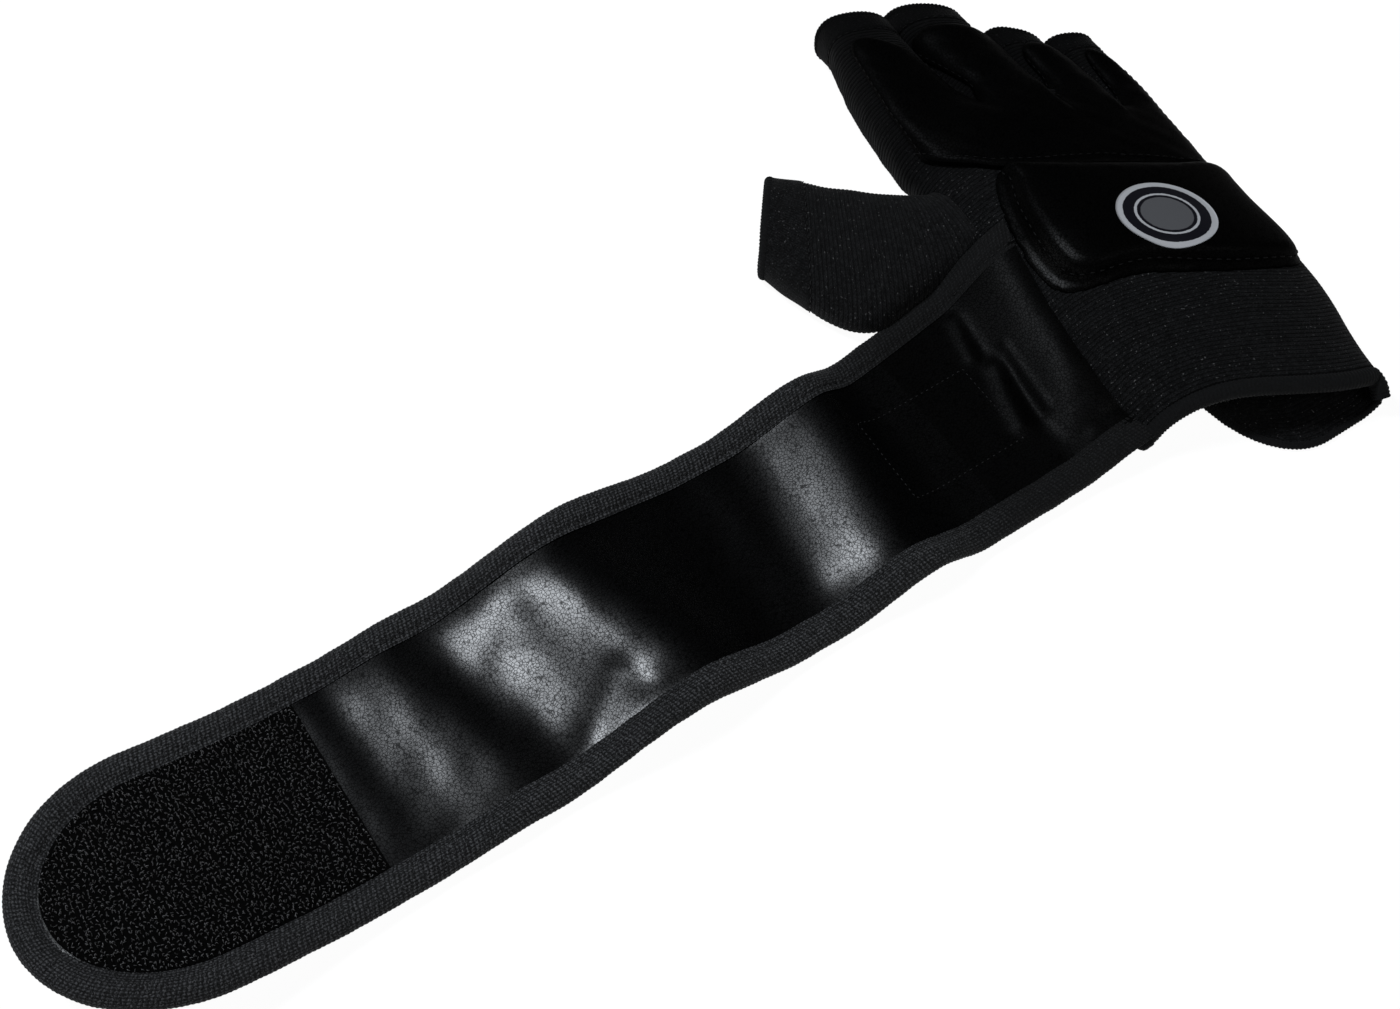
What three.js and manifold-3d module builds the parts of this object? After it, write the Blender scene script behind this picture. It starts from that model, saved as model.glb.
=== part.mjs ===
// Right-hand training glove with short knit fingers, padded leatherette back and a long wrist strap.
// Millimetres, +Z up. The glove lies palm down, fingers towards +Y, strap spread out towards -X.
// The origin is the point under the middle of the palm where the glove rests.
import * as THREE from 'three';
import Module from 'manifold-3d';

const manifoldModule = await Module();
manifoldModule.setup();
const { Manifold, Mesh: ManifoldMesh } = manifoldModule;

const { lerp, smoothstep, degToRad } = THREE.MathUtils;

// Fits and walls
const FIT_GAP = 0.3;
const KNIT_WALL = 1.6;
const HEM_RADIUS = 1.8;
const LEATHER = 1.0;
const LAYER_GAP = 0.2;

// Hand and cuff
const HAND_LEFT = 42;
const HAND_HEIGHT = 23;
const HAND_TILT = 0.22;
const PALM_RIGHT = 40.5;
const CUFF_LEFT = 37;
const CUFF_RIGHT = 31;
const CUFF_HEIGHT = 21;
const CUFF_Y = -80;
const PALM_Y = -28;
const SEAM_HEIGHT = 9;
const BACK_HEM_DROP = 21.5;
const BACK_HEM_INSET = 1;
const PALM_HEM_INSET = 3.5;
const PALM_SIDE_Y = -47;
const PALM_TONGUE_Y = -73;
const TONGUE_START_X = -20;
const TONGUE_FULL_X = 8;

// Finger sleeves, from the thumb side outwards
const SLAB_GAP = 0.6;
const HEM_CLEARANCE = 0.1;
const INDEX_ROOT_WIDTH = 31;
const INDEX_END_WIDTH = 23.5;
const INDEX_KNUCKLE_Y = 64;
const INDEX_LENGTH = 50;
const INDEX_END_HEIGHT = 20;
const INDEX_LIFT = 4;
const MIDDLE_ROOT_WIDTH = 22.8;
const MIDDLE_END_WIDTH = 20.6;
const MIDDLE_KNUCKLE_Y = 62;
const MIDDLE_LENGTH = 48;
const MIDDLE_END_HEIGHT = 19.5;
const RING_ROOT_WIDTH = 15.2;
const RING_END_WIDTH = 13.4;
const RING_KNUCKLE_Y = 52;
const RING_LENGTH = 33.5;
const RING_END_HEIGHT = 18;
const LITTLE_ROOT_WIDTH = 15;
const LITTLE_END_WIDTH = 13;
const LITTLE_KNUCKLE_Y = 42;
const LITTLE_LENGTH = 31.5;
const LITTLE_END_HEIGHT = 15;
const FINGER_LIFT = 1.2;
const LOBE_START = 0.4;
const LOBE_BACK_OFF = 13;
const LOBE_THICKNESS = 1.3;

// Thumb sleeve
const THUMB_ROOT_LENGTH = 31;
const THUMB_ROOT_HEIGHT = 19;
const THUMB_END_WIDTH = 37;
const THUMB_END_HEIGHT = 15.5;
const THUMB_REACH_X = 42.5;
const THUMB_REACH_Y = 34;
const THUMB_DIRECTION = 133;
const THUMB_CLEARANCE = 2;
const THUMB_HOLE_RIM = 3;

// Padding on the back of the hand
const PAD_SEAT = 0.5;
const BACK_FOAM = 6;
const KNUCKLE_FOAM = 2.2;
const FOAM_EDGE = 0.6;
const PAD_FLANGE = 2;
const PAD_ROLL = 4.5;
const KNUCKLE_ROLL = 5;
const PAD_RIGHT_INSET = 4;
const PAD_REAR_LEFT_Y = -7;
const PAD_REAR_RIGHT_Y = -36;
const PAD_STRAP_CLEARANCE = 1.5;
const PAD_SEAM_INSET = 15;
const PAD_SEAM_LEFT_Y = 41;
const PAD_SEAM_RIGHT_Y = 6.5;
const PAD_SEAM_GAP = 1.5;
const KNUCKLE_LEFT_INSET = 5.5;
const KNUCKLE_LEFT_REAR_Y = 55;
const KNUCKLE_LEFT_FRONT_Y = 78;
const KNUCKLE_RIGHT_INSET = 6;
const KNUCKLE_RIGHT_Y = 62;
const BADGE_LENGTH = 31;
const BADGE_WIDTH = 24;
const BADGE_THICKNESS = 0.6;
const BADGE_X = 5;
const BADGE_Y = -2;
const BADGE_TURN = -43;

// Strap
const STRAP_WIDTH = 74;
const STRAP_CENTRE_Y = -17;
const BINDING_WIDTH = 9.5;
const BINDING_WALL = 0.7;
const STRAP_BACKING = 0.8;
const STRAP_CORE = 1.4;
const STRAP_FACE = 0.8;
const ROOT_REACH = 20;
const ROOT_INSET = 6;
const ROOT_BULGE = 3;
const ROOT_SEAT = 0.8;
const SEGMENT_1_LENGTH = 50;
const SEGMENT_2_LENGTH = 58;
const SEGMENT_3_LENGTH = 58;
const SEGMENT_4_LENGTH = 57;
const TIP_LENGTH = 90;
const TIP_ROUNDING = 44;
const HOOK_PATCH_HEIGHT = 1.8;
const HOOK_PATCH_START = 1.2;
const LOOP_PATCH_LENGTH = 42;
const LOOP_PATCH_WIDTH = 33;
// Crests and troughs of the strap as it lies: distance from its fold at the hand, height of its underside
const STRAP_WAVE = [
  [0, 2],
  [14, 1.5],
  [53, 4.5],
  [83, 2.5],
  [135, 11],
  [181, 2],
  [192, 3],
  [223, 0],
  [313, 18],
];

// Section shape: round on the back, flat with rounded sides on the palm
const BACK_ROUNDNESS = 2.4;
const PALM_ROUNDNESS = 2.4;
const PALM_FLAT = 0.6;
const SEAM_SHARE = 0.42;

// Finishes
const KNIT = { color: 0x1d1e20, roughness: 0.95, metalness: 0 };
const HEM = { color: 0x1a1b1d, roughness: 0.95, metalness: 0 };
const LEATHERETTE = { color: 0x0e0e10, roughness: 0.4, metalness: 0 };
const FOAM = { color: 0x2b2b2d, roughness: 0.9, metalness: 0 };
const BACKING = { color: 0x161618, roughness: 0.85, metalness: 0 };
const BINDING = { color: 0x242426, roughness: 0.9, metalness: 0 };
const HOOKS = { color: 0x141416, roughness: 0.55, metalness: 0 };
const LOOPS = { color: 0x202022, roughness: 0.95, metalness: 0 };
const PRINT = { color: 0xd6d8dc, roughness: 0.5, metalness: 0 };

const glove = new THREE.Group();
glove.name = 'glove';

function point(x, y, z) {
  return new THREE.Vector3(x, y, z);
}

// A geometry from points and triangles, turned inside out if it encloses a negative volume.
function closedGeometry(points, triangles) {
  let volume = 0;
  for (const [a, b, c] of triangles) {
    volume += points[a].dot(new THREE.Vector3().crossVectors(points[b], points[c]));
  }
  const facing = volume < 0 ? triangles.map(([a, b, c]) => [a, c, b]) : triangles;
  const geometry = new THREE.BufferGeometry();
  geometry.setAttribute('position', new THREE.Float32BufferAttribute(points.flatMap((p) => p.toArray()), 3));
  geometry.setIndex(facing.flat());
  return geometry;
}

// A solid ring: every row is a closed loop, and the last row joins the first.
function ringSolid(rows) {
  const count = rows[0].length;
  const triangles = [];
  rows.forEach((row, i) => {
    const next = (i + 1) % rows.length;
    for (let j = 0; j < count; j += 1) {
      const k = (j + 1) % count;
      triangles.push([i * count + j, next * count + j, next * count + k]);
      triangles.push([i * count + j, next * count + k, i * count + k]);
    }
  });
  return closedGeometry(rows.flat(), triangles);
}

// A solid swept through equal loops, closed at both ends by the flat outline.
function sweptSolid(loops, outline) {
  const count = loops[0].length;
  const last = (loops.length - 1) * count;
  const triangles = [];
  for (let i = 0; i + 1 < loops.length; i += 1) {
    for (let j = 0; j < count; j += 1) {
      const k = (j + 1) % count;
      triangles.push([i * count + j, (i + 1) * count + j, (i + 1) * count + k]);
      triangles.push([i * count + j, (i + 1) * count + k, i * count + k]);
    }
  }
  const ends = THREE.ShapeUtils.triangulateShape(outline, []);
  const turn = THREE.ShapeUtils.isClockWise(outline);
  for (const [a, b, c] of ends) {
    const [p, q] = turn ? [c, b] : [b, c];
    triangles.push([a, p, q]);
    triangles.push([last + a, last + q, last + p]);
  }
  return closedGeometry(loops.flat(), triangles);
}

// A solid sheet between an upper and a lower grid of points.
function sheetSolid(upper, lower) {
  const rows = upper.length;
  const columns = upper[0].length;
  const half = rows * columns;
  const triangles = [];
  const at = (i, j) => i * columns + j;
  for (let i = 0; i + 1 < rows; i += 1) {
    for (let j = 0; j + 1 < columns; j += 1) {
      const quad = [at(i, j), at(i, j + 1), at(i + 1, j + 1), at(i + 1, j)];
      triangles.push([quad[0], quad[1], quad[2]], [quad[0], quad[2], quad[3]]);
      triangles.push([half + quad[0], half + quad[2], half + quad[1]]);
      triangles.push([half + quad[0], half + quad[3], half + quad[2]]);
    }
  }
  const rim = [];
  for (let j = 0; j + 1 < columns; j += 1) {
    rim.push(at(0, j));
  }
  for (let i = 0; i + 1 < rows; i += 1) {
    rim.push(at(i, columns - 1));
  }
  for (let j = columns - 1; j > 0; j -= 1) {
    rim.push(at(rows - 1, j));
  }
  for (let i = rows - 1; i > 0; i -= 1) {
    rim.push(at(i, 0));
  }
  rim.forEach((a, n) => {
    const b = rim[(n + 1) % rim.length];
    triangles.push([a, half + a, half + b], [a, half + b, b]);
  });
  return closedGeometry([...upper.flat(), ...lower.flat()], triangles);
}

// Merges equal corners so that a geometry can be joined or cut.
function toManifold(geometry) {
  const position = geometry.getAttribute('position');
  const counted = Array.from({ length: position.count }, (_, i) => i);
  const index = geometry.index ? Array.from(geometry.index.array) : counted;
  const seen = new Map();
  const corners = [];
  const renumbered = index.map((i) => {
    const xyz = [position.getX(i), position.getY(i), position.getZ(i)];
    const key = xyz.map((value) => Math.round(value * 1e5)).join(' ');
    if (!seen.has(key)) {
      seen.set(key, corners.length / 3);
      corners.push(...xyz);
    }
    return seen.get(key);
  });
  return new Manifold(new ManifoldMesh({
    numProp: 3,
    vertProperties: Float32Array.from(corners),
    triVerts: Uint32Array.from(renumbered),
  }));
}

function toGeometry(solid) {
  const mesh = solid.getMesh();
  const geometry = new THREE.BufferGeometry();
  geometry.setAttribute('position', new THREE.BufferAttribute(Float32Array.from(mesh.vertProperties), 3));
  geometry.setIndex(Array.from(mesh.triVerts));
  return geometry;
}

// An upright prism over a plan outline, high enough to pass through the whole glove.
function planPrism(corners) {
  const shape = new THREE.Shape(corners.map(([x, y]) => new THREE.Vector2(x, y)));
  const prism = new THREE.ExtrudeGeometry(shape, { depth: 100, bevelEnabled: false });
  prism.translate(0, 0, -30);
  return toManifold(prism);
}

function addPiece(name, geometry, finish) {
  const smooth = geometry.index ? geometry.toNonIndexed() : geometry;
  smooth.computeVertexNormals();
  const piece = new THREE.Mesh(smooth, new THREE.MeshStandardMaterial(finish));
  piece.name = name;
  glove.add(piece);
}

// Cross-sections. Left and right are plan points, base and crown are heights.
function sectionHeight(across, upper, section) {
  const { base, seam, crown, tilt } = section;
  const power = upper ? BACK_ROUNDNESS : PALM_ROUNDNESS;
  const out = Math.min(1, Math.abs(across));
  const turn = upper ? out : Math.max(0, out - PALM_FLAT) / (1 - PALM_FLAT);
  const rise = (1 - turn ** power) ** (1 / power);
  return upper ? seam + (crown - seam) * rise * (1 - tilt * across) : seam - (seam - base) * rise;
}

function sectionPoint(angle, section) {
  const across = Math.cos(angle);
  const plan = section.left.clone().lerp(section.right, (across + 1) / 2);
  const z = sectionHeight(across, Math.sin(angle) >= 0, section);
  return point(plan.x, plan.y, z);
}

function sectionLoop(section, count) {
  return Array.from({ length: count }, (_, j) => sectionPoint((j / count) * 2 * Math.PI, section));
}

// The same section moved inwards by a wall, or outwards by a negative one.
function insetSection(section, wall) {
  const along = section.right.clone().sub(section.left).normalize().multiplyScalar(wall);
  return {
    left: section.left.clone().add(along),
    right: section.right.clone().sub(along),
    base: section.base + wall,
    seam: section.seam,
    crown: section.crown - wall,
    tilt: section.tilt,
  };
}

function sleeveSolid(sections) {
  const outer = sections.map((section) => sectionLoop(section, 20));
  const inner = sections.map((section) => sectionLoop(insetSection(section, KNIT_WALL), 20));
  return ringSolid([...outer, ...inner.reverse()]);
}

// A rolled hem just beyond the open end of a sleeve, leaving along the given plan direction.
function hemSolid(section, direction) {
  const middle = insetSection(section, KNIT_WALL / 2);
  const start = direction.clone().multiplyScalar(HEM_RADIUS + FIT_GAP);
  const path = sectionLoop(middle, 20).map((p) => p.add(point(start.x, start.y, 0)));
  const centre = path.reduce((sum, p) => sum.add(p), new THREE.Vector3()).divideScalar(path.length);
  const rows = path.map((p, i) => {
    const before = path[(i + path.length - 1) % path.length];
    const after = path[(i + 1) % path.length];
    const tangent = after.clone().sub(before).normalize();
    const forward = point(direction.x, direction.y, 0);
    const outward = new THREE.Vector3().crossVectors(tangent, forward).normalize();
    if (outward.dot(p.clone().sub(centre)) < 0) {
      outward.negate();
    }
    return Array.from({ length: 6 }, (_, j) => {
      const turn = (j / 6) * 2 * Math.PI;
      return p.clone()
        .addScaledVector(outward, HEM_RADIUS * Math.cos(turn))
        .addScaledVector(forward, HEM_RADIUS * Math.sin(turn));
    });
  });
  return ringSolid(rows);
}

// Finger layout: slabs side by side, so each finger bends past its neighbours
const hemStand = HEM_RADIUS - KNIT_WALL / 2;
const fingerSizes = [
  {
    name: 'index',
    rootWidth: INDEX_ROOT_WIDTH,
    endWidth: INDEX_END_WIDTH,
    knuckleY: INDEX_KNUCKLE_Y,
    length: INDEX_LENGTH,
    endHeight: INDEX_END_HEIGHT,
    lift: INDEX_LIFT,
  },
  {
    name: 'middle',
    rootWidth: MIDDLE_ROOT_WIDTH,
    endWidth: MIDDLE_END_WIDTH,
    knuckleY: MIDDLE_KNUCKLE_Y,
    length: MIDDLE_LENGTH,
    endHeight: MIDDLE_END_HEIGHT,
    lift: FINGER_LIFT,
  },
  {
    name: 'ring',
    rootWidth: RING_ROOT_WIDTH,
    endWidth: RING_END_WIDTH,
    knuckleY: RING_KNUCKLE_Y,
    length: RING_LENGTH,
    endHeight: RING_END_HEIGHT,
    lift: FINGER_LIFT,
  },
  {
    name: 'little',
    rootWidth: LITTLE_ROOT_WIDTH,
    endWidth: LITTLE_END_WIDTH,
    knuckleY: LITTLE_KNUCKLE_Y,
    length: LITTLE_LENGTH,
    endHeight: LITTLE_END_HEIGHT,
    lift: FINGER_LIFT,
  },
];
let nextLeft = -HAND_LEFT;
const fingers = fingerSizes.map((size) => {
  const left = nextLeft;
  const right = left + size.rootWidth;
  nextLeft = right + SLAB_GAP;
  const sideRoom = hemStand + HEM_CLEARANCE;
  const width = Math.min(size.endWidth, size.rootWidth - 2 * sideRoom);
  const endRight = size.name === 'index' ? right - sideRoom : (left + right + width) / 2;
  return { ...size, left, right, endLeft: endRight - width, endRight };
});
const handRight = nextLeft - SLAB_GAP;
const thumbRootX = -HAND_LEFT - 2 * FIT_GAP;
const strapFrontY = STRAP_CENTRE_Y + STRAP_WIDTH / 2;
const strapRearY = STRAP_CENTRE_Y - STRAP_WIDTH / 2;
const strapRootX = -HAND_LEFT - ROOT_REACH;
const strapSeamX = -HAND_LEFT + ROOT_INSET;
const thumbRootY = strapFrontY + THUMB_CLEARANCE;

// Hand shell
function handSection(y) {
  const growth = smoothstep(y, CUFF_Y, PALM_Y);
  const spread = smoothstep(y, 0, LITTLE_KNUCKLE_Y);
  const right = lerp(lerp(CUFF_RIGHT, PALM_RIGHT, growth), handRight, spread);
  return {
    left: new THREE.Vector2(-lerp(CUFF_LEFT, HAND_LEFT, growth), y),
    right: new THREE.Vector2(right, y),
    base: 0,
    seam: SEAM_HEIGHT,
    crown: lerp(CUFF_HEIGHT, HAND_HEIGHT, growth),
    tilt: HAND_TILT,
  };
}

function handHeight(x, y, upper) {
  const section = handSection(y);
  const across = (2 * x - section.left.x - section.right.x) / (section.right.x - section.left.x);
  return sectionHeight(across, upper, section);
}

function backHeight(x, y) {
  return handHeight(x, y, true);
}

function palmHeight(x, y) {
  return handHeight(x, y, false);
}

// Rear edges of both panels in plan
function backHemY(x) {
  return strapRearY - FIT_GAP - BACK_HEM_DROP * smoothstep(x, strapSeamX, CUFF_RIGHT);
}

function palmHemY(x) {
  return lerp(PALM_SIDE_Y, PALM_TONGUE_Y, smoothstep(x, TONGUE_START_X, TONGUE_FULL_X));
}

// How far the plan outlines used for cutting reach past the hand
const planReach = 25;

function knuckleSteps() {
  const steps = [[-HAND_LEFT - planReach, fingers[0].knuckleY - FIT_GAP]];
  fingers.slice(0, 3).forEach((finger, i) => {
    const border = finger.right + SLAB_GAP / 2;
    steps.push([border, finger.knuckleY - FIT_GAP]);
    steps.push([border, fingers[i + 1].knuckleY - FIT_GAP]);
  });
  steps.push([handRight + planReach, fingers[3].knuckleY - FIT_GAP]);
  return steps;
}

function handPrism(rearY) {
  const rear = Array.from({ length: 41 }, (_, i) => {
    const x = lerp(handRight + planReach, -HAND_LEFT - planReach, i / 40);
    return [x, rearY(x)];
  });
  return planPrism([...knuckleSteps(), ...rear]);
}

// The hole in the hand's side where the thumb sleeve joins it
const thumbHole = new THREE.BoxGeometry(
  planReach,
  THUMB_ROOT_LENGTH - 2 * THUMB_HOLE_RIM,
  THUMB_ROOT_HEIGHT - 2 * THUMB_HOLE_RIM,
);
thumbHole.translate(-HAND_LEFT, thumbRootY + THUMB_ROOT_LENGTH / 2, THUMB_ROOT_HEIGHT / 2);
const thumbCutter = toManifold(thumbHole);

function handPanel(upper, rearY) {
  const rear = CUFF_Y - planReach;
  const front = INDEX_KNUCKLE_Y + planReach;
  const stations = Array.from({ length: 14 }, (_, i) => lerp(rear, front, i / 13));
  const seamShift = upper ? FIT_GAP / 2 : -FIT_GAP / 2;
  const grid = (wall) => stations.map((y) => {
    const section = insetSection(handSection(y), wall);
    section.seam += seamShift;
    return Array.from({ length: 15 }, (_, j) => {
      const angle = (upper ? 1 : -1) * (j / 14) * Math.PI;
      const p = sectionPoint(angle, section);
      if (j === 0 || j === 14) {
        p.z = section.seam;
      }
      return p;
    });
  });
  const shell = toManifold(sheetSolid(grid(0), grid(KNIT_WALL)));
  return toGeometry(shell.intersect(handPrism(rearY)).subtract(thumbCutter));
}

addPiece('palm_panel', handPanel(false, palmHemY), KNIT);
addPiece('back_panel', handPanel(true, backHemY), KNIT);

// Cuff hems: rolled edges just beyond the rear edges of the panels
function cuffHem(rearY, height, start, end) {
  const spots = Array.from({ length: 15 }, (_, i) => {
    const x = lerp(start, end, i / 14);
    const slope = (rearY(x + 0.1) - rearY(x - 0.1)) / 0.2;
    const away = new THREE.Vector2(slope, -1).normalize().multiplyScalar(HEM_RADIUS + 2 * FIT_GAP);
    return point(x + away.x, rearY(x) + away.y, height(x, rearY(x)));
  });
  const path = new THREE.CatmullRomCurve3(spots);
  const round = new THREE.Shape().absarc(0, 0, HEM_RADIUS, 0, 2 * Math.PI);
  const sweep = { steps: 20, curveSegments: 4, bevelEnabled: false, extrudePath: path };
  return new THREE.ExtrudeGeometry(round, sweep);
}

const backHemHeight = (x, y) => backHeight(x, y) - KNIT_WALL / 2;
const backHem = cuffHem(backHemY, backHemHeight, -CUFF_LEFT + BACK_HEM_INSET, CUFF_RIGHT - BACK_HEM_INSET);
addPiece('cuff_hem_back', backHem, HEM);
const palmHemHeight = (x, y) => Math.max(palmHeight(x, y), HEM_RADIUS + FIT_GAP);
const palmHem = cuffHem(palmHemY, palmHemHeight, -CUFF_LEFT + PALM_HEM_INSET, CUFF_RIGHT - PALM_HEM_INSET);
addPiece('cuff_hem_palm', palmHem, HEM);

// Pads: a foam body under a leatherette cover, over a four-cornered plan patch
const padLines = [0, 0.04, 0.09, 0.16, 0.3, 0.5, 0.7, 0.84, 0.91, 0.96, 1];

function patchPoint(corners, u, v) {
  const rear = corners[0].clone().lerp(corners[1], u);
  const front = corners[3].clone().lerp(corners[2], u);
  return rear.lerp(front, v);
}

function padRise(distance, roll) {
  const share = THREE.MathUtils.clamp((distance - PAD_FLANGE) / roll, 0, 1);
  return Math.sqrt(1 - (1 - share) ** 2);
}

function padLayers(corners, foam, roll) {
  const width = corners[0].distanceTo(corners[1]);
  const layer = (lines, height) => lines.map((v) => lines.map((u) => {
    const plan = patchPoint(corners, u, v);
    const length = patchPoint(corners, u, 0).distanceTo(patchPoint(corners, u, 1));
    const sides = padRise(Math.min(u, 1 - u) * width, roll);
    const ends = padRise(Math.min(v, 1 - v) * length, roll);
    return point(plan.x, plan.y, backHeight(plan.x, plan.y) + height(sides * ends));
  }));
  const inner = padLines.slice(2, -2);
  const foamTop = (rise) => PAD_SEAT + Math.max(FOAM_EDGE, foam * rise);
  const core = sheetSolid(layer(inner, foamTop), layer(inner, () => PAD_SEAT));
  const under = (rise) => foamTop(rise) + FIT_GAP;
  const cover = sheetSolid(layer(padLines, (rise) => under(rise) + LEATHER), layer(padLines, under));
  return { core, cover };
}

const padRight = PALM_RIGHT - PAD_RIGHT_INSET;
const knuckleLeft = -HAND_LEFT + KNUCKLE_LEFT_INSET;
const backPad = padLayers([
  new THREE.Vector2(strapSeamX + PAD_STRAP_CLEARANCE, PAD_REAR_LEFT_Y),
  new THREE.Vector2(padRight, PAD_REAR_RIGHT_Y),
  new THREE.Vector2(padRight, PAD_SEAM_RIGHT_Y),
  new THREE.Vector2(-HAND_LEFT + PAD_SEAM_INSET, PAD_SEAM_LEFT_Y),
], BACK_FOAM, PAD_ROLL);
addPiece('back_pad_foam', backPad.core, FOAM);
addPiece('back_pad_cover', backPad.cover, LEATHERETTE);

const knucklePad = padLayers([
  new THREE.Vector2(knuckleLeft, KNUCKLE_LEFT_REAR_Y),
  new THREE.Vector2(padRight, PAD_SEAM_RIGHT_Y + PAD_SEAM_GAP),
  new THREE.Vector2(handRight - KNUCKLE_RIGHT_INSET, KNUCKLE_RIGHT_Y),
  new THREE.Vector2(knuckleLeft, KNUCKLE_LEFT_FRONT_Y),
], KNUCKLE_FOAM, KNUCKLE_ROLL);
const knucklePrism = handPrism(() => CUFF_Y);
addPiece('knuckle_foam', toGeometry(toManifold(knucklePad.core).intersect(knucklePrism)), FOAM);
addPiece('knuckle_cover', toGeometry(toManifold(knucklePad.cover).intersect(knucklePrism)), LEATHERETTE);

// Plain oval on the back pad
function badgeSolid() {
  const turn = degToRad(BADGE_TURN);
  const layer = (height) => Array.from({ length: 11 }, (_, i) => {
    const rowAngle = lerp(-1.45, 1.45, i / 10);
    return Array.from({ length: 7 }, (__, j) => {
      const along = lerp(-1, 1, j / 6) * (BADGE_LENGTH / 2) * Math.cos(rowAngle);
      const across = (BADGE_WIDTH / 2) * Math.sin(rowAngle);
      const x = BADGE_X + along * Math.cos(turn) - across * Math.sin(turn);
      const y = BADGE_Y + along * Math.sin(turn) + across * Math.cos(turn);
      const coverTop = backHeight(x, y) + PAD_SEAT + BACK_FOAM + FIT_GAP + LEATHER;
      return point(x, y, coverTop + FIT_GAP + height);
    });
  });
  return sheetSolid(layer(BADGE_THICKNESS), layer(0));
}
addPiece('badge', badgeSolid(), PRINT);

// Fingers
function fingerSection(finger, t) {
  const y = finger.knuckleY + FIT_GAP + finger.length * t;
  const base = finger.lift * t;
  const rootHeight = backHeight((finger.left + finger.right) / 2, finger.knuckleY);
  const crown = lerp(rootHeight, finger.lift + finger.endHeight, t);
  return {
    left: new THREE.Vector2(lerp(finger.left, finger.endLeft, t), y),
    right: new THREE.Vector2(lerp(finger.right, finger.endRight, t), y),
    base,
    seam: base + SEAM_SHARE * (crown - base),
    crown,
    tilt: 0,
  };
}

function lobeSolid(finger) {
  const start = LOBE_START / finger.length;
  const reach = (finger.length - LOBE_BACK_OFF) / finger.length;
  const rows = [0, 0.35, 0.65, 0.85, 0.95, 1];
  const widths = [0.75, 0.75, 0.73, 0.64, 0.46, 0.28];
  const layer = (lift) => rows.map((share, i) => {
    const section = insetSection(fingerSection(finger, start + share * reach), -lift);
    return Array.from({ length: 7 }, (_, j) => {
      const angle = Math.PI / 2 + lerp(-1, 1, j / 6) * widths[i];
      return sectionPoint(angle, section);
    });
  });
  return sheetSolid(layer(PAD_SEAT + LOBE_THICKNESS), layer(PAD_SEAT));
}

for (const finger of fingers) {
  const sections = [0, 0.33, 0.67, 1].map((t) => fingerSection(finger, t));
  addPiece(`${finger.name}_sleeve`, sleeveSolid(sections), KNIT);
  addPiece(`${finger.name}_hem`, hemSolid(sections[3], new THREE.Vector2(0, 1)), HEM);
  addPiece(`${finger.name}_lobe`, lobeSolid(finger), LEATHERETTE);
}

// Thumb: leaves the hand's side in front of the strap and turns towards the finger side
const thumbAngle = degToRad(THUMB_DIRECTION);
const thumbForward = new THREE.Vector2(Math.cos(thumbAngle), Math.sin(thumbAngle));
const thumbAcross = new THREE.Vector2(Math.sin(thumbAngle), -Math.cos(thumbAngle));
const thumbMiddleY = thumbRootY + THUMB_ROOT_LENGTH / 2;
const thumbEnd = new THREE.Vector2(thumbRootX - THUMB_REACH_X, thumbMiddleY + THUMB_REACH_Y);
const thumbLower = new THREE.CubicBezierCurve(
  new THREE.Vector2(thumbRootX, thumbRootY),
  new THREE.Vector2(thumbRootX - 0.7 * THUMB_REACH_X, thumbRootY),
  new THREE.Vector2(thumbRootX - THUMB_REACH_X, thumbRootY + 0.1 * THUMB_REACH_Y),
  thumbEnd.clone().addScaledVector(thumbAcross, -THUMB_END_WIDTH / 2),
);
const thumbUpper = new THREE.LineCurve(
  new THREE.Vector2(thumbRootX, thumbRootY + THUMB_ROOT_LENGTH),
  thumbEnd.clone().addScaledVector(thumbAcross, THUMB_END_WIDTH / 2),
);

function thumbSection(t) {
  const base = FINGER_LIFT * t;
  const crown = lerp(THUMB_ROOT_HEIGHT, FINGER_LIFT + THUMB_END_HEIGHT, t);
  return {
    left: thumbLower.getPoint(t),
    right: thumbUpper.getPoint(t),
    base,
    seam: base + SEAM_SHARE * (crown - base),
    crown,
    tilt: 0,
  };
}

const thumbSections = [0, 0.2, 0.4, 0.6, 0.8, 1].map(thumbSection);
addPiece('thumb_sleeve', sleeveSolid(thumbSections), KNIT);
addPiece('thumb_hem', hemSolid(thumbSections[5], thumbForward), HEM);

// Strap. Distances run from the fold beside the hand to the tip.
// Heights start at the underside of the binding.
const backingBase = BINDING_WALL + LAYER_GAP;
const coreBase = backingBase + STRAP_BACKING + LAYER_GAP;
const faceBase = coreBase + STRAP_CORE + LAYER_GAP;
const bindingTop = faceBase + STRAP_FACE + LAYER_GAP;
const strapHeight = bindingTop + BINDING_WALL;
const layerInset = BINDING_WALL + LAYER_GAP;
const strapLayers = [
  ['backing', backingBase, STRAP_BACKING, BACKING],
  ['core', coreBase, STRAP_CORE, FOAM],
  ['face', faceBase, STRAP_FACE, LEATHERETTE],
];
const bindingOutline = [
  [0, 0],
  [0, strapHeight],
  [BINDING_WIDTH, strapHeight],
  [BINDING_WIDTH, bindingTop],
  [BINDING_WALL, bindingTop],
  [BINDING_WALL, BINDING_WALL],
  [BINDING_WIDTH, BINDING_WALL],
  [BINDING_WIDTH, 0],
].map(([inward, height]) => new THREE.Vector2(inward, height));

function waveHeight(distance) {
  const next = STRAP_WAVE.findIndex(([at]) => at >= distance);
  if (next <= 0) {
    return STRAP_WAVE.at(next === 0 ? 0 : -1)[1];
  }
  const [fromAt, fromHeight] = STRAP_WAVE[next - 1];
  const [toAt, toHeight] = STRAP_WAVE[next];
  return lerp(fromHeight, toHeight, smoothstep(distance, fromAt, toAt));
}

function strapPoint(distance, y, height) {
  return point(strapRootX - distance, y, waveHeight(distance) + height);
}

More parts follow.
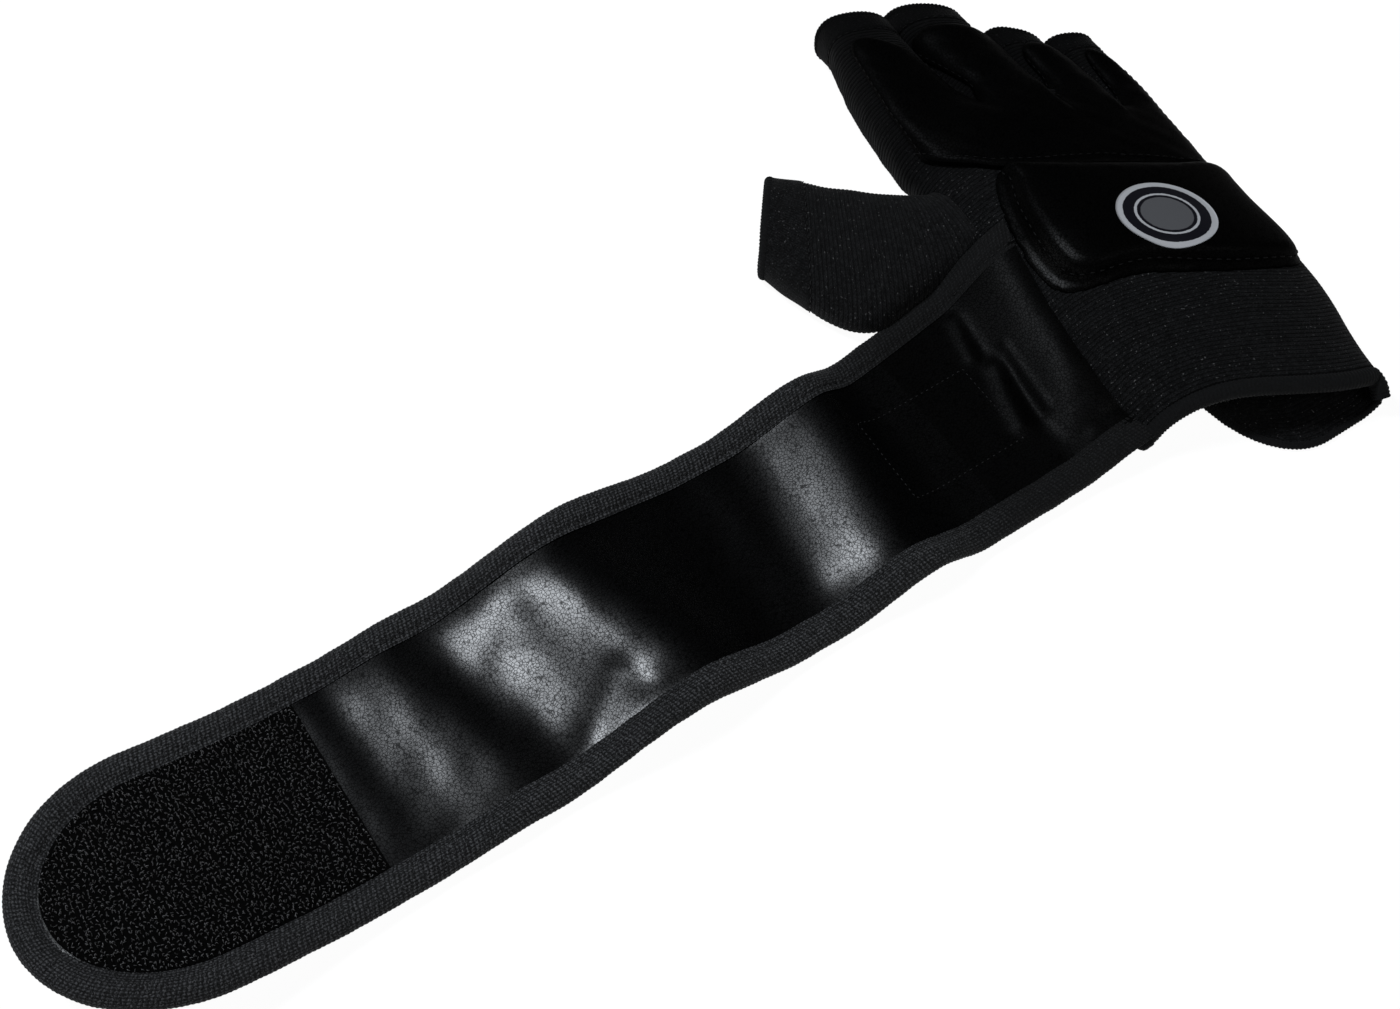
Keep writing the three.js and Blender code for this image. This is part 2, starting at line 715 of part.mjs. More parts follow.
function stationsBetween(start, end, count) {
  return Array.from({ length: count + 1 }, (_, i) => lerp(start, end, i / count));
}

// A flat layer of the strap: a rectangle swept along it, as wide as halfWidth allows.
function layerSolid(stations, halfWidth, base, thickness) {
  const corners = [[-1, 0], [1, 0], [1, 1], [-1, 1]];
  const loops = stations.map((distance) => corners.map(([side, level]) => {
    const y = STRAP_CENTRE_Y + side * halfWidth(distance);
    return strapPoint(distance, y, base + level * thickness);
  }));
  return sweptSolid(loops, corners.map(([side, level]) => new THREE.Vector2(side, level)));
}

function straightBinding(stations, side) {
  const edge = STRAP_CENTRE_Y + (side * STRAP_WIDTH) / 2;
  const loops = stations.map((distance) => bindingOutline.map((o) => {
    return strapPoint(distance, edge - side * o.x, o.y);
  }));
  return sweptSolid(loops, bindingOutline);
}

const segmentLengths = [SEGMENT_1_LENGTH, SEGMENT_2_LENGTH, SEGMENT_3_LENGTH, SEGMENT_4_LENGTH];
let segmentStart = 0;
segmentLengths.forEach((length, i) => {
  const stations = stationsBetween(segmentStart + FIT_GAP / 2, segmentStart + length - FIT_GAP / 2, 6);
  for (const [layer, base, thickness, finish] of strapLayers) {
    const solid = layerSolid(stations, () => STRAP_WIDTH / 2 - layerInset, base, thickness);
    addPiece(`strap_${i + 1}_${layer}`, solid, finish);
  }
  addPiece(`strap_${i + 1}_binding_finger_side`, straightBinding(stations, 1), BINDING);
  addPiece(`strap_${i + 1}_binding_cuff_side`, straightBinding(stations, -1), BINDING);
  segmentStart += length;
});

// Loop patch under the first part of the strap
const loopStart = (SEGMENT_1_LENGTH - LOOP_PATCH_LENGTH) / 2;
const loopStations = stationsBetween(loopStart, loopStart + LOOP_PATCH_LENGTH, 5);
const loopPatch = layerSolid(loopStations, () => LOOP_PATCH_WIDTH / 2, 0, BINDING_WALL);
addPiece('loop_patch', loopPatch, LOOPS);

// Rounded strap end: half an ellipse after a straight part
const tipStart = segmentStart + FIT_GAP / 2;
const tipEnd = segmentStart + TIP_LENGTH;
const tipRoundStart = tipEnd - TIP_ROUNDING;

function tipStations(start, inset, count) {
  const straight = stationsBetween(start, tipRoundStart, 4);
  const round = Array.from({ length: count }, (_, i) => {
    return tipRoundStart + (TIP_ROUNDING - inset) * Math.sin((1.5 * (i + 1)) / count);
  });
  return [...straight, ...round];
}

function tipHalfWidth(inset) {
  return (distance) => {
    const share = Math.max(0, distance - tipRoundStart) / (TIP_ROUNDING - inset);
    return (STRAP_WIDTH / 2 - inset) * Math.sqrt(1 - share ** 2);
  };
}

for (const [layer, base, thickness, finish] of strapLayers) {
  const stations = tipStations(tipStart, layerInset, 8);
  addPiece(`strap_5_${layer}`, layerSolid(stations, tipHalfWidth(layerInset), base, thickness), finish);
}
const hookInset = BINDING_WIDTH + FIT_GAP;
const hookStations = tipStations(tipStart + HOOK_PATCH_START, hookInset, 8);
const hookPatch = layerSolid(hookStations, tipHalfWidth(hookInset), bindingTop, HOOK_PATCH_HEIGHT);
addPiece('hook_patch', hookPatch, HOOKS);

function tipBinding() {
  const spots = [];
  for (const side of [1, -1]) {
    const straight = stationsBetween(tipStart, tipRoundStart, 4).map((distance) => ({
      along: distance,
      y: (side * STRAP_WIDTH) / 2,
      inward: new THREE.Vector2(0, -side),
    }));
    spots.push(...(side > 0 ? straight : straight.reverse()));
    if (side > 0) {
      for (let i = 1; i < 18; i += 1) {
        const turn = Math.PI / 2 - (i / 18) * Math.PI;
        const along = tipRoundStart + TIP_ROUNDING * Math.cos(turn);
        const y = (STRAP_WIDTH / 2) * Math.sin(turn);
        const inward = new THREE.Vector2(-Math.cos(turn) / TIP_ROUNDING, (-2 * Math.sin(turn)) / STRAP_WIDTH);
        spots.push({ along, y, inward: inward.normalize() });
      }
    }
  }
  const loops = spots.map(({ along, y, inward }) => bindingOutline.map((o) => {
    return strapPoint(along + inward.x * o.x, STRAP_CENTRE_Y + y + inward.y * o.x, o.y);
  }));
  return sweptSolid(loops, bindingOutline);
}
addPiece('strap_5_binding', tipBinding(), BINDING);

// Strap root: sewn to the back panel beside the pad and sloping down to the fold
function rootHeight(x, y) {
  const share = (x - strapRootX) / (strapSeamX - strapRootX);
  const seat = backHeight(strapSeamX, y) + ROOT_SEAT;
  return lerp(waveHeight(0), seat, share) + ROOT_BULGE * 4 * share * (1 - share);
}

const rootStations = stationsBetween(strapRootX + FIT_GAP / 2, strapSeamX, 6);
const rootColumns = stationsBetween(strapRearY + layerInset, strapFrontY - layerInset, 6);
for (const [layer, base, thickness, finish] of strapLayers) {
  const grid = (height) => rootStations.map((x) => rootColumns.map((y) => {
    return point(x, y, rootHeight(x, y) + height);
  }));
  addPiece(`strap_root_${layer}`, sheetSolid(grid(base + thickness), grid(base)), finish);
}

function rootBinding(side) {
  const edge = STRAP_CENTRE_Y + (side * STRAP_WIDTH) / 2;
  const loops = rootStations.map((x) => bindingOutline.map((o) => {
    const y = edge - side * o.x;
    return point(x, y, rootHeight(x, y) + o.y);
  }));
  return sweptSolid(loops, bindingOutline);
}
addPiece('strap_root_binding_finger_side', rootBinding(1), BINDING);
addPiece('strap_root_binding_cuff_side', rootBinding(-1), BINDING);

export default glove;
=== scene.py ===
"""A fingerless mixed martial arts glove that lies palm down, with its long wrist strap rolled out.

The sizes of its pieces are in millimetres. Places in the finishes and in the studio's lights are in metres.
"""

import logging
import math
from collections.abc import Callable, Sequence
from dataclasses import dataclass, field
from enum import Enum

import bpy
import numpy as np
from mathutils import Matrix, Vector
from mathutils.bvhtree import BVHTree


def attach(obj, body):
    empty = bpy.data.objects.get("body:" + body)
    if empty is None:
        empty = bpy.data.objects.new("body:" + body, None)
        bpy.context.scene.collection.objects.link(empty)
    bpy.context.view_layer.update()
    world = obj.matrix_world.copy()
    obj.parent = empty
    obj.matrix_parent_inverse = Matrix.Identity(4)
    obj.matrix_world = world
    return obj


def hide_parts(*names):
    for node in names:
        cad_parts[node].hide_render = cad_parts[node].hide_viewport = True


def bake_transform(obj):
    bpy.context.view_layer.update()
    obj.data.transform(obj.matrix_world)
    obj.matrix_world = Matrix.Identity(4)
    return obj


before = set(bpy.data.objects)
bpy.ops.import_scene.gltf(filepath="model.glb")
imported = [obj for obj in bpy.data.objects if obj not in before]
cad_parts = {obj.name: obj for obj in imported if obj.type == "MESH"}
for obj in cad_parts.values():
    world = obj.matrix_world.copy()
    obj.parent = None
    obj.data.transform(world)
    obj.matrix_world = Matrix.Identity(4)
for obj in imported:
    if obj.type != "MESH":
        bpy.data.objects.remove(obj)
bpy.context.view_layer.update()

LOG = logging.getLogger("glove")
MM = 0.001
CHART = "chart"
TURN = 2.0 * math.pi
TINY = 1e-9
# Points between two knots of a curve, and the share of a wall's thickness by which a soft rim bulges
CURVE_STEPS = 24
RIM_BULGE = 0.45
Array = np.ndarray
Piece = bpy.types.Object
Plan = tuple[float, float]
Triple = tuple[float, float, float]
Line = tuple[Plan, ...]


class Slot(Enum):
    """The record's material slots."""

    KNIT = "knit"
    HEM = "hem"
    LEATHER = "leatherette"
    LINING = "backing"
    BINDING = "binding"
    HOOKS = "hooks"
    LOOPS = "loops"
    PRINT = "print"


class Shape(Enum):
    """How the grid of a mesh closes."""

    TUBE = "tube"
    SHEET = "sheet"


# Numbers and curves


def ease(value: Array, start: float, end: float) -> Array:
    """Rise smoothly from 0 at start to 1 at end."""
    share = np.clip((np.asarray(value, float) - start) / (end - start), 0.0, 1.0)
    return share * share * (3.0 - 2.0 * share)


def between(first: Array, second: Array, share: Array) -> Array:
    """Mix two values: the first at share 0, the second at share 1."""
    return first + (second - first) * share


def bell(distance: Array, width: float) -> Array:
    """A soft bump of height 1 that fades over about the given width."""
    return np.exp(-((np.asarray(distance) / width) ** 2))


def unit(vectors: Array) -> Array:
    """Scale vectors along the last axis to length 1."""
    return vectors / np.maximum(np.linalg.norm(vectors, axis=-1, keepdims=True), TINY)


def through(knots: Sequence[Plan], count: int, closed: bool) -> Array:
    """Run a smooth curve through plan points.

    Args:
        knots: Points that the curve passes.
        count: Number of points to return.
        closed: True if the last knot joins the first.

    Returns:
        The curve's points, evenly spaced along it, count x 2.
    """
    points = np.array(knots, float)
    if closed:
        around = np.concatenate([points[-1:], points, points[:2]])
    else:
        around = np.concatenate([2 * points[:1] - points[1:2], points, 2 * points[-1:] - points[-2:-1]])
    share = np.linspace(0.0, 1.0, CURVE_STEPS, endpoint=False)[:, None]
    runs = []
    for a, b, c, d in zip(around, around[1:], around[2:], around[3:]):
        bend = (2 * a - 5 * b + 4 * c - d) * share**2 + (3 * b - a - 3 * c + d) * share**3
        runs.append(0.5 * (2 * b + (c - a) * share + bend))
    dense = np.concatenate([*runs, points[:1] if closed else points[-1:]])
    return evenly(dense, count + 1)[:-1] if closed else evenly(dense, count)


def evenly(path: Array, count: int) -> Array:
    """Space points evenly along a path.

    Args:
        path: Points of the path.
        count: Number of points to return.

    Returns:
        The new points, from the path's first to its last.
    """
    length = run_length(path)
    stations = np.linspace(0.0, length[-1], count)
    return np.stack([np.interp(stations, length, path[:, axis]) for axis in range(path.shape[1])], -1)


def run_length(path: Array) -> Array:
    """Distance along a path at each of its points."""
    return np.concatenate([[0.0], np.cumsum(np.linalg.norm(np.diff(path, axis=0), axis=1))])


def round_angles(count: int) -> Array:
    """Angles of the columns round a tube, as one row."""
    return np.linspace(0.0, TURN, count, endpoint=False)[None, :]


def wobble(points: Array, wave: float, seed: int) -> Array:
    """A smooth seeded unevenness, about -1 to 1, of five sets of waves, each finer and weaker.

    Args:
        points: Points in millimetres, with x, y and z on the last axis.
        wave: Length of the longest waves.
        seed: Choice of the pattern.

    Returns:
        One value for each point.
    """
    finer, weaker, scale = 1.37, 1.3, 3.0
    draw = np.random.default_rng(seed)
    total = np.zeros(points.shape[:-1])
    for octave in range(5):
        direction = unit(draw.normal(size=3)) * (TURN / wave) * finer**octave
        total += np.sin(points @ direction + draw.uniform(0, TURN)) / weaker**octave
    return total / scale


# Meshes from grids of points


def grid_normals(points: Array, shape: Shape) -> Array:
    """Find the outward direction at each point of a grid.

    Args:
        points: Rows x columns x 3.
        shape: A tube's columns join round it; a sheet faces up.

    Returns:
        Unit vectors of the same layout.
    """
    along = np.gradient(points, axis=0)
    if shape is Shape.TUBE:
        across = np.roll(points, -1, axis=1) - np.roll(points, 1, axis=1)
        outward = points - points.mean(axis=1, keepdims=True)
    else:
        across = np.gradient(points, axis=1)
        outward = np.array([0.0, 0.0, 1.0])
    normals = unit(np.cross(across, along))
    return normals if (normals * outward).sum() > 0 else -normals


def grid_faces(rows: int, columns: int, shape: Shape) -> Array:
    """Number the corners of a grid's quads.

    Args:
        rows: Rows of the grid.
        columns: Columns of the grid.
        shape: How its columns close.

    Returns:
        Corner numbers, four to a row.
    """
    i = np.arange(rows - 1)[:, None]
    j = np.arange(columns if shape is Shape.TUBE else columns - 1)[None, :]
    k = (j + 1) % columns
    corners = [i * columns + j, i * columns + k, (i + 1) * columns + k, (i + 1) * columns + j]
    return np.stack(corners, -1).reshape(-1, 4)


def grid_chart(points: Array, shape: Shape) -> Array:
    """Lay a grid flat: millimetres across its middle row and down each column.

    Args:
        points: Rows x columns x 3.
        shape: A tube gets one more column, because its chart doesn't close.

    Returns:
        Rows x columns x 2.
    """
    if shape is Shape.TUBE:
        points = np.concatenate([points, points[:, :1]], axis=1)
    across = run_length(points[len(points) // 2])
    steps = np.linalg.norm(np.diff(points, axis=0), axis=2)
    down = np.concatenate([np.zeros((1, points.shape[1])), np.cumsum(steps, axis=0)])
    return np.stack([np.broadcast_to(across, down.shape), down], -1)


def rim_loops(rows: int, columns: int, shape: Shape) -> list[list[tuple[int, int]]]:
    """Walk round the free edges of a grid, in the direction of its faces.

    Args:
        rows: Rows of the grid.
        columns: Columns of the grid.
        shape: A tube has two open ends, a sheet one edge all round.

    Returns:
        Closed loops of (row, column).
    """
    last_row, last_column = rows - 1, columns - 1
    if shape is Shape.TUBE:
        return [[(0, j) for j in range(columns)], [(last_row, j) for j in range(last_column, -1, -1)]]
    loop = [(0, j) for j in range(last_column)]
    loop += [(i, last_column) for i in range(last_row)]
    loop += [(last_row, j) for j in range(last_column, 0, -1)]
    loop += [(i, 0) for i in range(last_row, 0, -1)]
    return [loop]


def new_object(name: str, data: bpy.types.ID) -> Piece:
    """Put a new object into the scene.

    Args:
        name: Name of the object.
        data: Its mesh, light or camera.

    Returns:
        The object, at the origin.
    """
    made = bpy.data.objects.new(name, data)
    bpy.context.scene.collection.objects.link(made)
    return made


def mesh_piece(name: str, points: Array, faces: Array, charts: Array) -> Piece:
    """Make a smooth object from points in millimetres.

    Args:
        name: Name of the piece.
        points: Corner points.
        faces: Corner numbers, four to a face.
        charts: Flat millimetres at each corner of each face.

    Returns:
        The new object, linked to the scene, with its faces outwards.
    """
    triangles = np.concatenate([faces[:, [0, 1, 2]], faces[:, [0, 2, 3]]])
    a, b, c = (points[triangles[:, corner]] for corner in range(3))
    if np.einsum("ij,ij->", a, np.cross(b, c)) < 0:
        faces, charts = faces[:, ::-1], charts[:, ::-1]
    mesh = bpy.data.meshes.new(name)
    mesh.from_pydata((points * MM).tolist(), [], faces.tolist())
    layer = mesh.uv_layers.new(name=CHART)
    layer.data.foreach_set("uv", (charts * MM).astype(np.float32).ravel())
    mesh.shade_smooth()
    return new_object(name, mesh)


def shell(
    name: str, outer: Array, inner: Array, shape: Shape, crisp: bool = False, ribs: Array | None = None
) -> Piece:
    """Close an outer and an inner grid into one wall.

    Args:
        name: Name of the piece.
        outer: Rows x columns x 3, in millimetres.
        inner: The other side of the wall; a tube's may have fewer rows.
        shape: How the grids close.
        crisp: True keeps the rims of both sides sharp, as where two pieces meet flush.
        ribs: Number of the rib at each row of the outer grid, for a chart that counts ribs.

    Returns:
        The closed piece.
    """
    rows, columns = outer.shape[:2]
    half = rows * columns
    points = [outer.reshape(-1, 3), inner.reshape(-1, 3)]
    faces = [grid_faces(rows, columns, shape), half + grid_faces(len(inner), columns, shape)[:, ::-1]]
    charts = []
    for grid, turn in ((outer, 1), (inner, -1)):
        flat = grid_chart(grid, shape)
        if ribs is not None:
            rows_here = np.linspace(0.0, rows - 1.0, len(grid))
            flat[..., 1] = np.interp(rows_here, np.arange(rows), ribs)[:, None]
        corners = grid_faces(len(grid), flat.shape[1], Shape.SHEET)
        charts.append(flat.reshape(-1, 2)[corners][:, ::turn])
    rim_start = half + len(inner) * columns
    bulge = 0.0 if crisp else RIM_BULGE
    edge_points = set()
    for loop in rim_loops(rows, columns, shape):
        rim_outer, rim_inner, rim_middle = [], [], []
        for i, j in loop:
            inner_i = i if len(inner) == rows else (0 if i == 0 else len(inner) - 1)
            row_in = min(max(i, 1), rows - 2)
            column_in = j if shape is Shape.TUBE else min(max(j, 1), columns - 2)
            away = unit(outer[i, j] - outer[row_in, column_in])
            wall = outer[i, j] - inner[inner_i, j]
            rim_outer.append(i * columns + j)
            rim_inner.append(half + inner_i * columns + j)
            rim_middle.append(outer[i, j] - wall / 2 + away * np.linalg.norm(wall) * bulge)
        count = len(loop)
        here = np.arange(count)
        after = (here + 1) % count
        outer_ids, inner_ids = np.array(rim_outer), np.array(rim_inner)
        middle_ids = rim_start + here
        upper = [outer_ids[after], outer_ids, middle_ids, middle_ids[after]]
        lower = [middle_ids[after], middle_ids, inner_ids, inner_ids[after]]
        faces += [np.stack(upper, -1), np.stack(lower, -1)]
        charts += [np.zeros((2 * count, 4, 2))]
        points.append(np.array(rim_middle))
        rim_start += count
        edge_points.update(rim_outer + rim_inner)
    piece = mesh_piece(name, np.concatenate(points), np.concatenate(faces), np.concatenate(charts))
    if crisp:
        sharpen(piece.data, edge_points)
    return piece


def sharpen(mesh: bpy.types.Mesh, corner_ids: set[int]) -> None:
    """Keep the edges between the given corners sharp.

    Args:
        mesh: Mesh to mark.
        corner_ids: Numbers of the corners along the edge.
    """
    ends = np.zeros(len(mesh.edges) * 2, np.int32)
    mesh.edges.foreach_get("vertices", ends)
    marked = np.isin(ends.reshape(-1, 2), list(corner_ids)).all(axis=1)
    attribute = mesh.attributes.new("sharp_edge", "BOOLEAN", "EDGE")
    attribute.data.foreach_set("value", marked)


def line_mesh(lines: Sequence[Array], closed: bool = False) -> bpy.types.Mesh:
    """Lay edges along lines of points.

    Args:
        lines: Lines of points in millimetres.
        closed: True if each line's last point joins its first.

    Returns:
        A mesh of edges, for a tree to follow.
    """
    points, edges = [], []
    for line in lines:
        start, count = len(points), len(line)
        points += (line * MM).tolist()
        edges += [(start + i, start + (i + 1) % count) for i in range(count if closed else count - 1)]
    mesh = bpy.data.meshes.new("lines")
    mesh.from_pydata(points, edges, [])
    return mesh


# Node trees

# Numbers of the Mix node's two inputs and its output for each type, because their names repeat
COLOUR_SOCKETS = (6, 7, 2)
VECTOR_SOCKETS = (4, 5, 1)


class Wire:
    """One output of a node, with arithmetic that adds Math nodes."""

    def __init__(self, graph: "Graph", socket: bpy.types.NodeSocket) -> None:
        """Wrap a socket of a graph."""
        self.graph = graph
        self.socket = socket

    def other(self, name: str) -> "Wire":
        """Another output of the same node."""
        return Wire(self.graph, self.socket.node.outputs[name])

    def math(self, operation: str, *values: "Wire | float") -> "Wire":
        """Add a Math node that works on this wire and the given values."""
        return self.graph.add("ShaderNodeMath", {"operation": operation}, dict(enumerate((self, *values))))

    def __add__(self, value: "Wire | float") -> "Wire":
        """This plus a value."""
        return self.math("ADD", value)

    __radd__ = __add__

    def __sub__(self, value: "Wire | float") -> "Wire":
        """This minus a value."""
        return self.math("SUBTRACT", value)

    def __rsub__(self, value: float) -> "Wire":
        """A number minus this."""
        return (self * -1.0) + value

    def __mul__(self, value: "Wire | float") -> "Wire":
        """This times a value."""
        return self.math("MULTIPLY", value)

    __rmul__ = __mul__

    def __truediv__(self, value: "Wire | float") -> "Wire":
        """This divided by a value."""
        return self.math("DIVIDE", value)

    def sine(self) -> "Wire":
        """The sine of this."""
        return self.math("SINE")

    def ripple(self) -> "Wire":
        """A wave from 0 to 1 that repeats with each whole number."""
        return (self * TURN).sine() * 0.5 + 0.5

    def above(self, least: float) -> "Wire":
        """This, squeezed from 0 to 1 into a least value to 1."""
        return least + (1.0 - least) * self

    def capped(self) -> "Wire":
        """This, at most 1."""
        return self.math("MINIMUM", 1.0)

    def fold(self, size: float) -> "Wire":
        """Run this back and forth between 0 and a size."""
        return self.math("PINGPONG", size)

    def step(self, start: float, end: float) -> "Wire":
        """Rise smoothly from 0 to 1 between two values."""
        inputs = {"Value": self, "From Min": start, "From Max": end}
        return self.graph.add("ShaderNodeMapRange", {"interpolation_type": "SMOOTHSTEP"}, inputs)


class Graph:
    """A node tree that is filled by one method."""

    def __init__(self, tree: bpy.types.NodeTree) -> None:
        """Take a tree to fill."""
        self.tree = tree

    def add(
        self,
        kind: str,
        settings: dict[str, object] | None = None,
        inputs: dict[str | int, object] | None = None,
        output: str | int = 0,
    ) -> Wire:
        """Add one node.

        Args:
            kind: The node's type.
            settings: Its own properties, set first.
            inputs: Values or wires for its sockets, by name or number.
            output: The output to return.

        Returns:
            A wire from that output.
        """
        node = self.tree.nodes.new(kind)
        for key, value in (settings or {}).items():
            setattr(node, key, value)
        for key, value in (inputs or {}).items():
            if isinstance(value, Wire):
                self.tree.links.new(value.socket, node.inputs[key])
            else:
                node.inputs[key].default_value = value
        if not node.outputs:
            return Wire(self, node.inputs[0])
        return Wire(self, node.outputs[output])

    def chart(self) -> tuple[Wire, Wire]:
        """The two flat distances of the piece's own chart, in metres."""
        split = self.add("ShaderNodeSeparateXYZ", None, {0: self.add("ShaderNodeUVMap", {"uv_map": CHART})})
        return split, split.other("Y")

    def place(self) -> Wire:
        """Object coordinates, in metres."""
        return self.add("ShaderNodeTexCoord", output="Object")

    def along(self, axis: str) -> Wire:
        """One of the Object coordinates, in metres."""
        return self.add("ShaderNodeSeparateXYZ", None, {0: self.place()}, axis)

    def noise(self, size: float, detail: float = 3.0, seed: float = 0.0) -> Wire:
        """Even noise from 0 to 1.

        Args:
            size: Size of its features in millimetres.
            detail: How many finer layers it has.
            seed: Choice of the pattern.

        Returns:
            The noise at each place.
        """
        settings = {"noise_dimensions": "4D"}
        inputs = {"Vector": self.place(), "W": seed, "Scale": 1.0 / (size * MM), "Detail": detail}
        return self.add("ShaderNodeTexNoise", settings, inputs)

    def tint(self, share: Wire, first: Triple | Wire, second: Triple) -> Wire:
        """Mix two colours.

        Args:
            share: 0 for the first colour, 1 for the second.
            first: A colour, or a wire of one.
            second: A colour.

        Returns:
            The mixed colour.
        """
        low, high, result = COLOUR_SOCKETS
        start = first if isinstance(first, Wire) else (*first, 1.0)
        ends = {0: share, low: start, high: (*second, 1.0)}
        return self.add("ShaderNodeMix", {"data_type": "RGBA"}, ends, result)

    def bump(self, height: Wire, depth: float, strength: float = 1.0, below: Wire | None = None) -> Wire:
        """Turn a height into a normal.

        Args:
            height: Height from 0 to 1.
            depth: What a height of 1 stands for, in millimetres.
            strength: Share of the effect.
            below: A normal that it adds to.

        Returns:
            The normal.
        """
        inputs = {"Height": height, "Distance": depth * MM, "Strength": strength}
        if below is not None:
            inputs["Normal"] = below
        return self.add("ShaderNodeBump", None, inputs)


# Finishes


@dataclass(frozen=True)
class Finish:
    """A surface finish: constants for the shader, and a pattern that each kind adds."""

    name: str
    shade: Triple
    roughness: float
    sheen: float = 0.0
    sheen_roughness: float = 0.45
    specular: float = 0.5
    coat_roughness: float = 0.3
    contrast: float = 0.6
    lint: float = 0.6
    lint_depth: float = 0.1

    def material(self) -> bpy.types.Material:
        """Find the material of this finish, or make it on first use.

        Returns:
            The material.
        """
        made = bpy.data.materials.get(self.name)
        if made is not None:
            return made
        made = bpy.data.materials.new(self.name)
        made.use_nodes = True
        graph = Graph(made.node_tree)
        shader = made.node_tree.nodes["Principled BSDF"]
        even = {
            "Base Color": (*self.shade, 1.0),
            "Roughness": self.roughness,
            "Specular IOR Level": self.specular,
            "Sheen Weight": self.sheen,
            "Sheen Roughness": self.sheen_roughness,
            "Coat Roughness": self.coat_roughness,
        }
        for socket, value in even.items():
            shader.inputs[socket].default_value = value
        for socket, wire in self.pattern(graph).items():
            made.node_tree.links.new(wire.socket, shader.inputs[socket])
        return made

    def toned(self, factor: float) -> Triple:
        """The shade, times a factor."""
        return tuple(factor * c for c in self.shade)

    def pattern(self, graph: Graph) -> dict[str, Wire]:
        """What varies over the surface.

        Args:
            graph: The material's nodes.

        Returns:
            A wire for each socket of the shader.
        """
        lint = graph.noise(self.lint, 2.0)
        colour = graph.tint(lint.step(0.3, 0.7), self.toned(self.contrast), self.shade)
        return {"Base Color": colour, "Normal": graph.bump(lint, self.lint_depth)}

    def dress(self, piece: Piece) -> Piece:
        """Give a piece this finish.

        Args:
            piece: The piece.

        Returns:
            The same piece.
        """
        piece.data.materials.clear()
        piece.data.materials.append(self.material())
        return piece


@dataclass(frozen=True)
class KnitFinish(Finish):
    """Ribbed knit: grooves darkened as painted shade, small V stitches, pale specks, and painted shade that
    can darken it towards the fingers.
    """

    wale: float = 1.2
    depth: float = 0.2
    tones: Plan = (0.25, 3.4)
    speck: Triple = (0.075, 0.075, 0.075)
    # Strength of the painted shade that darkens the knit towards the fingers, and the span of Y in metres
    # over which it comes in
    fade: float = 0.0
    painted_shade_zone: Plan = (0.03, 0.075)

    def pattern(self, graph: Graph) -> dict[str, Wire]:
        """Stitches and painted groove shade from the chart, which counts ribs along the tube, and specks and
        painted shade towards the fingers from the place.

        Args:
            graph: The material's nodes.

        Returns:
            A wire for each socket of the shader.
        """
        across, ribs = graph.chart()
        fuzz = graph.noise(0.5, 4.0, 2.0)
        side = (across / (self.wale * MM)).fold(0.5)
        groove = ((ribs / MM + fuzz * 0.5 - 0.25) * math.pi).sine().math("ABSOLUTE").step(0.05, 0.8)
        loops = ((ribs / MM) * 2.0 + side * 1.2 + fuzz * 0.5).ripple()
        height = groove * loops.above(0.6) + fuzz * 0.3
        mottle = graph.noise(1.7, 3.0, 6.0).step(0.25, 0.75)
        # Painted shade: the knit darkens towards the fingers, where less light falls on it
        painted_shade_and_tone = 1.0 - self.fade * graph.along("Y").step(*self.painted_shade_zone)
        # Painted shade: the grooves darken the colour in the rib valleys, on top of the weave's own tone
        weave = groove.above(0.3) * loops.above(0.4) * fuzz.step(0.3, 0.65)
        tone = weave * (0.4 + mottle) * 1.3 * painted_shade_and_tone
        dark, light = (self.toned(factor) for factor in self.tones)
        shade = graph.tint(tone.capped(), dark, light)
        specks = graph.noise(0.7, 1.0, 7.0).step(0.66, 0.74) * groove * painted_shade_and_tone
        colour = graph.tint(specks, shade, self.speck)
        return {"Base Color": colour, "Normal": graph.bump(height, self.depth)}


